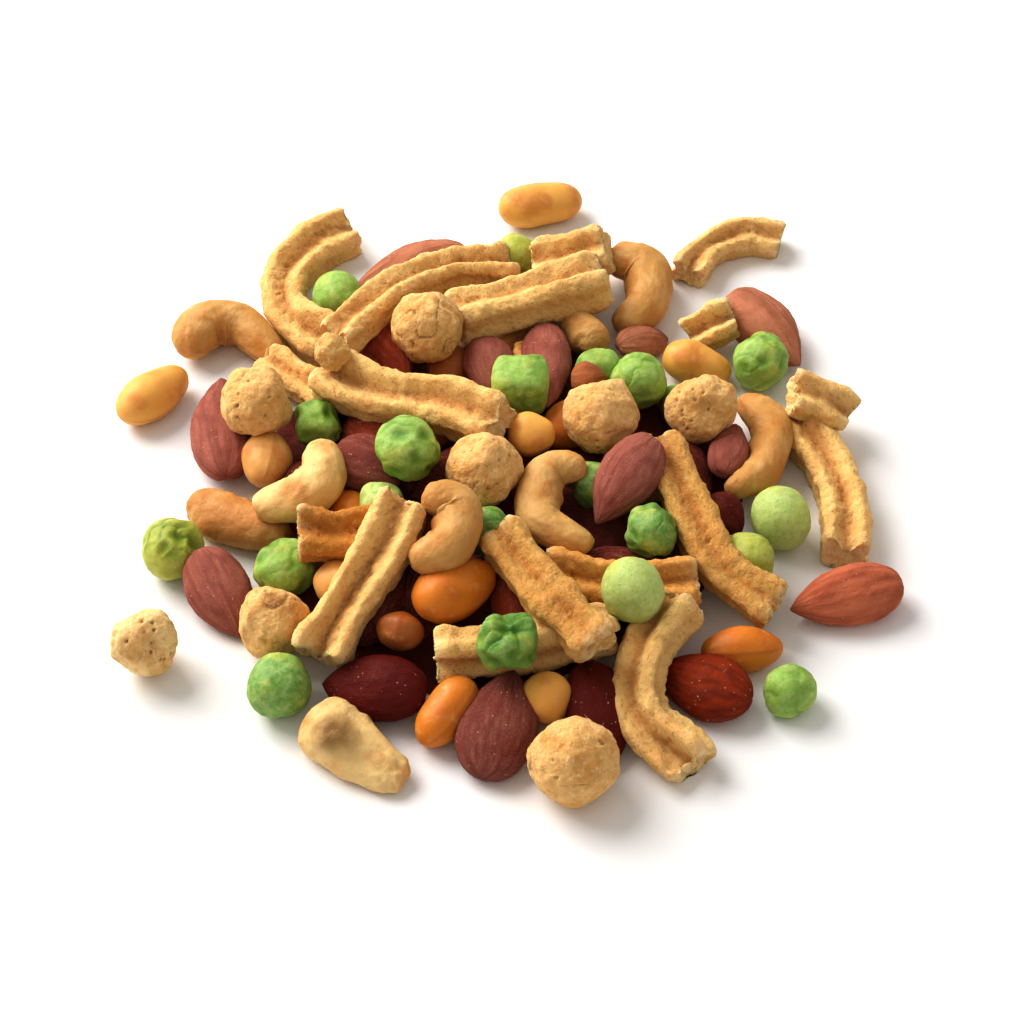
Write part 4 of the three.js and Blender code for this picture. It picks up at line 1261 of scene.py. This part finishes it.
def bed_shape():
    angle = np.arange(BED_SIDES) / BED_SIDES * 2 * math.pi
    share = np.linspace(BED_INNERMOST, 1, BED_RINGS)[::-1]
    reach = (core_reach(angle) - BED_SHRUNK)[None] * share[:, None]
    x = BED_CENTRE[0] + reach * np.cos(angle)
    y = BED_CENTRE[1] + reach * np.sin(angle)
    top = np.stack([x, y, core_height(x, y, BED_CENTRE, BED_SHRUNK) * BED_SUNK], axis=-1)
    lumps = np.abs(bumps(top, BED_LUMPS, 3)) + bumps(top, BED_CRUMBS, 4, 3) - BED_LOWERED
    top[..., 2] = np.maximum(top[..., 2] + lumps * smooth_step(1 - share, 0, BED_EDGE)[:, None], 0)
    rim = top[0] * np.array([1, 1, 0])
    vertices = np.vstack([[*BED_CENTRE, 0], rim, top.reshape(-1, 3), top[-1].mean(0)])
    return vertices, tube(BED_RINGS + 1, BED_SIDES)


bed = Kind()
vertices, triangles = bed_shape()
# Painted shade: dark red-brown, for the deep shadow between the pieces.
bed.add(0, "#6b2416", vertices, triangles, vertices)

bed_shade = Finish("painted_shade_bed")
# Darker brown clouds in the painted shade.
bed_shade.tint(bed_shade.clouds(3, 0.5, 0.65, 3) * 0.5, "#5c2a14")
crumbly = bed_shade.noise(1.1, 4, 0.6)
bed_shade_finish = bed_shade.finish(bed_shade.between(crumbly, 0, 1, 0.8, 1.0), crumbly, 0.5)
bed.build("painted_shade_bed", "snack_mix", bed_shade_finish, ["heap"])

# %% [markdown]
# ## Floor, light and camera
#
# The heap lies on white. A large lamp behind and to the left gives the soft light across the pieces
# and their pale shadows to the right and in front. The bright world fills the shadows. A gamma below
# 1 gives the picture the strong contrast of an advertising photograph.

# %% Floor
FLOOR_HALF = 3.0
FLOOR_DROP = 0.0001  # keeps it clear of the flat feet that stand on it
WHITE, DULL = (0.9, 0.9, 0.91, 1), 0.9
floor_mesh = bpy.data.meshes.new("floor")
corners = [(x * FLOOR_HALF, y * FLOOR_HALF, 0) for x, y in ((-1, -1), (1, -1), (1, 1), (-1, 1))]
floor_mesh.from_pydata(corners, [], [(0, 1, 2, 3)])
floor = bpy.data.objects.new("floor", floor_mesh)
floor.location.z = -FLOOR_DROP
bpy.context.collection.objects.link(floor)
paper = bpy.data.materials.new("white_paper")
paper.use_nodes = True
paper_shader = paper.node_tree.nodes["Principled BSDF"]
paper_shader.inputs["Base Color"].default_value = WHITE
paper_shader.inputs["Roughness"].default_value = DULL
floor_mesh.materials.append(paper)

# %% Light
LAMP_SPOT = Vector((-0.8, 0.62, 0.86))
LAMP_SIZE, LAMP_POWER, LAMP_TINT = 1.0, 25.0, (1.0, 0.99, 0.98)
SKY_TINT, SKY_STRENGTH = (1, 0.96, 0.91, 1), 0.64
VIEW_GAMMA = 0.76

lamp = bpy.data.lights.new("key", "AREA")
lamp.size, lamp.energy, lamp.color = LAMP_SIZE, LAMP_POWER, LAMP_TINT
holder = bpy.data.objects.new("key", lamp)
holder.location = LAMP_SPOT
holder.rotation_euler = (-LAMP_SPOT).to_track_quat("-Z", "Y").to_euler()
bpy.context.collection.objects.link(holder)

world = bpy.data.worlds.new("studio")
bpy.context.scene.world = world
world.use_nodes = True
sky = world.node_tree.nodes["Background"]
sky.inputs["Color"].default_value = SKY_TINT
sky.inputs["Strength"].default_value = SKY_STRENGTH
view = bpy.context.scene.view_settings
view.view_transform = "Standard"
view.gamma = VIEW_GAMMA

# %% Camera
camera_data = bpy.data.cameras.new("camera")
camera_data.lens, camera_data.sensor_width = FOCAL_LENGTH, SENSOR
camera = bpy.data.objects.new("camera", camera_data)
camera.location = Vector(EYE * MM)
camera.rotation_euler = (math.pi / 2 - ELEVATION, 0, 0)
bpy.context.collection.objects.link(camera)
bpy.context.scene.camera = camera
print("The camera is", round(DISTANCE * MM, 2), "m from the heap")
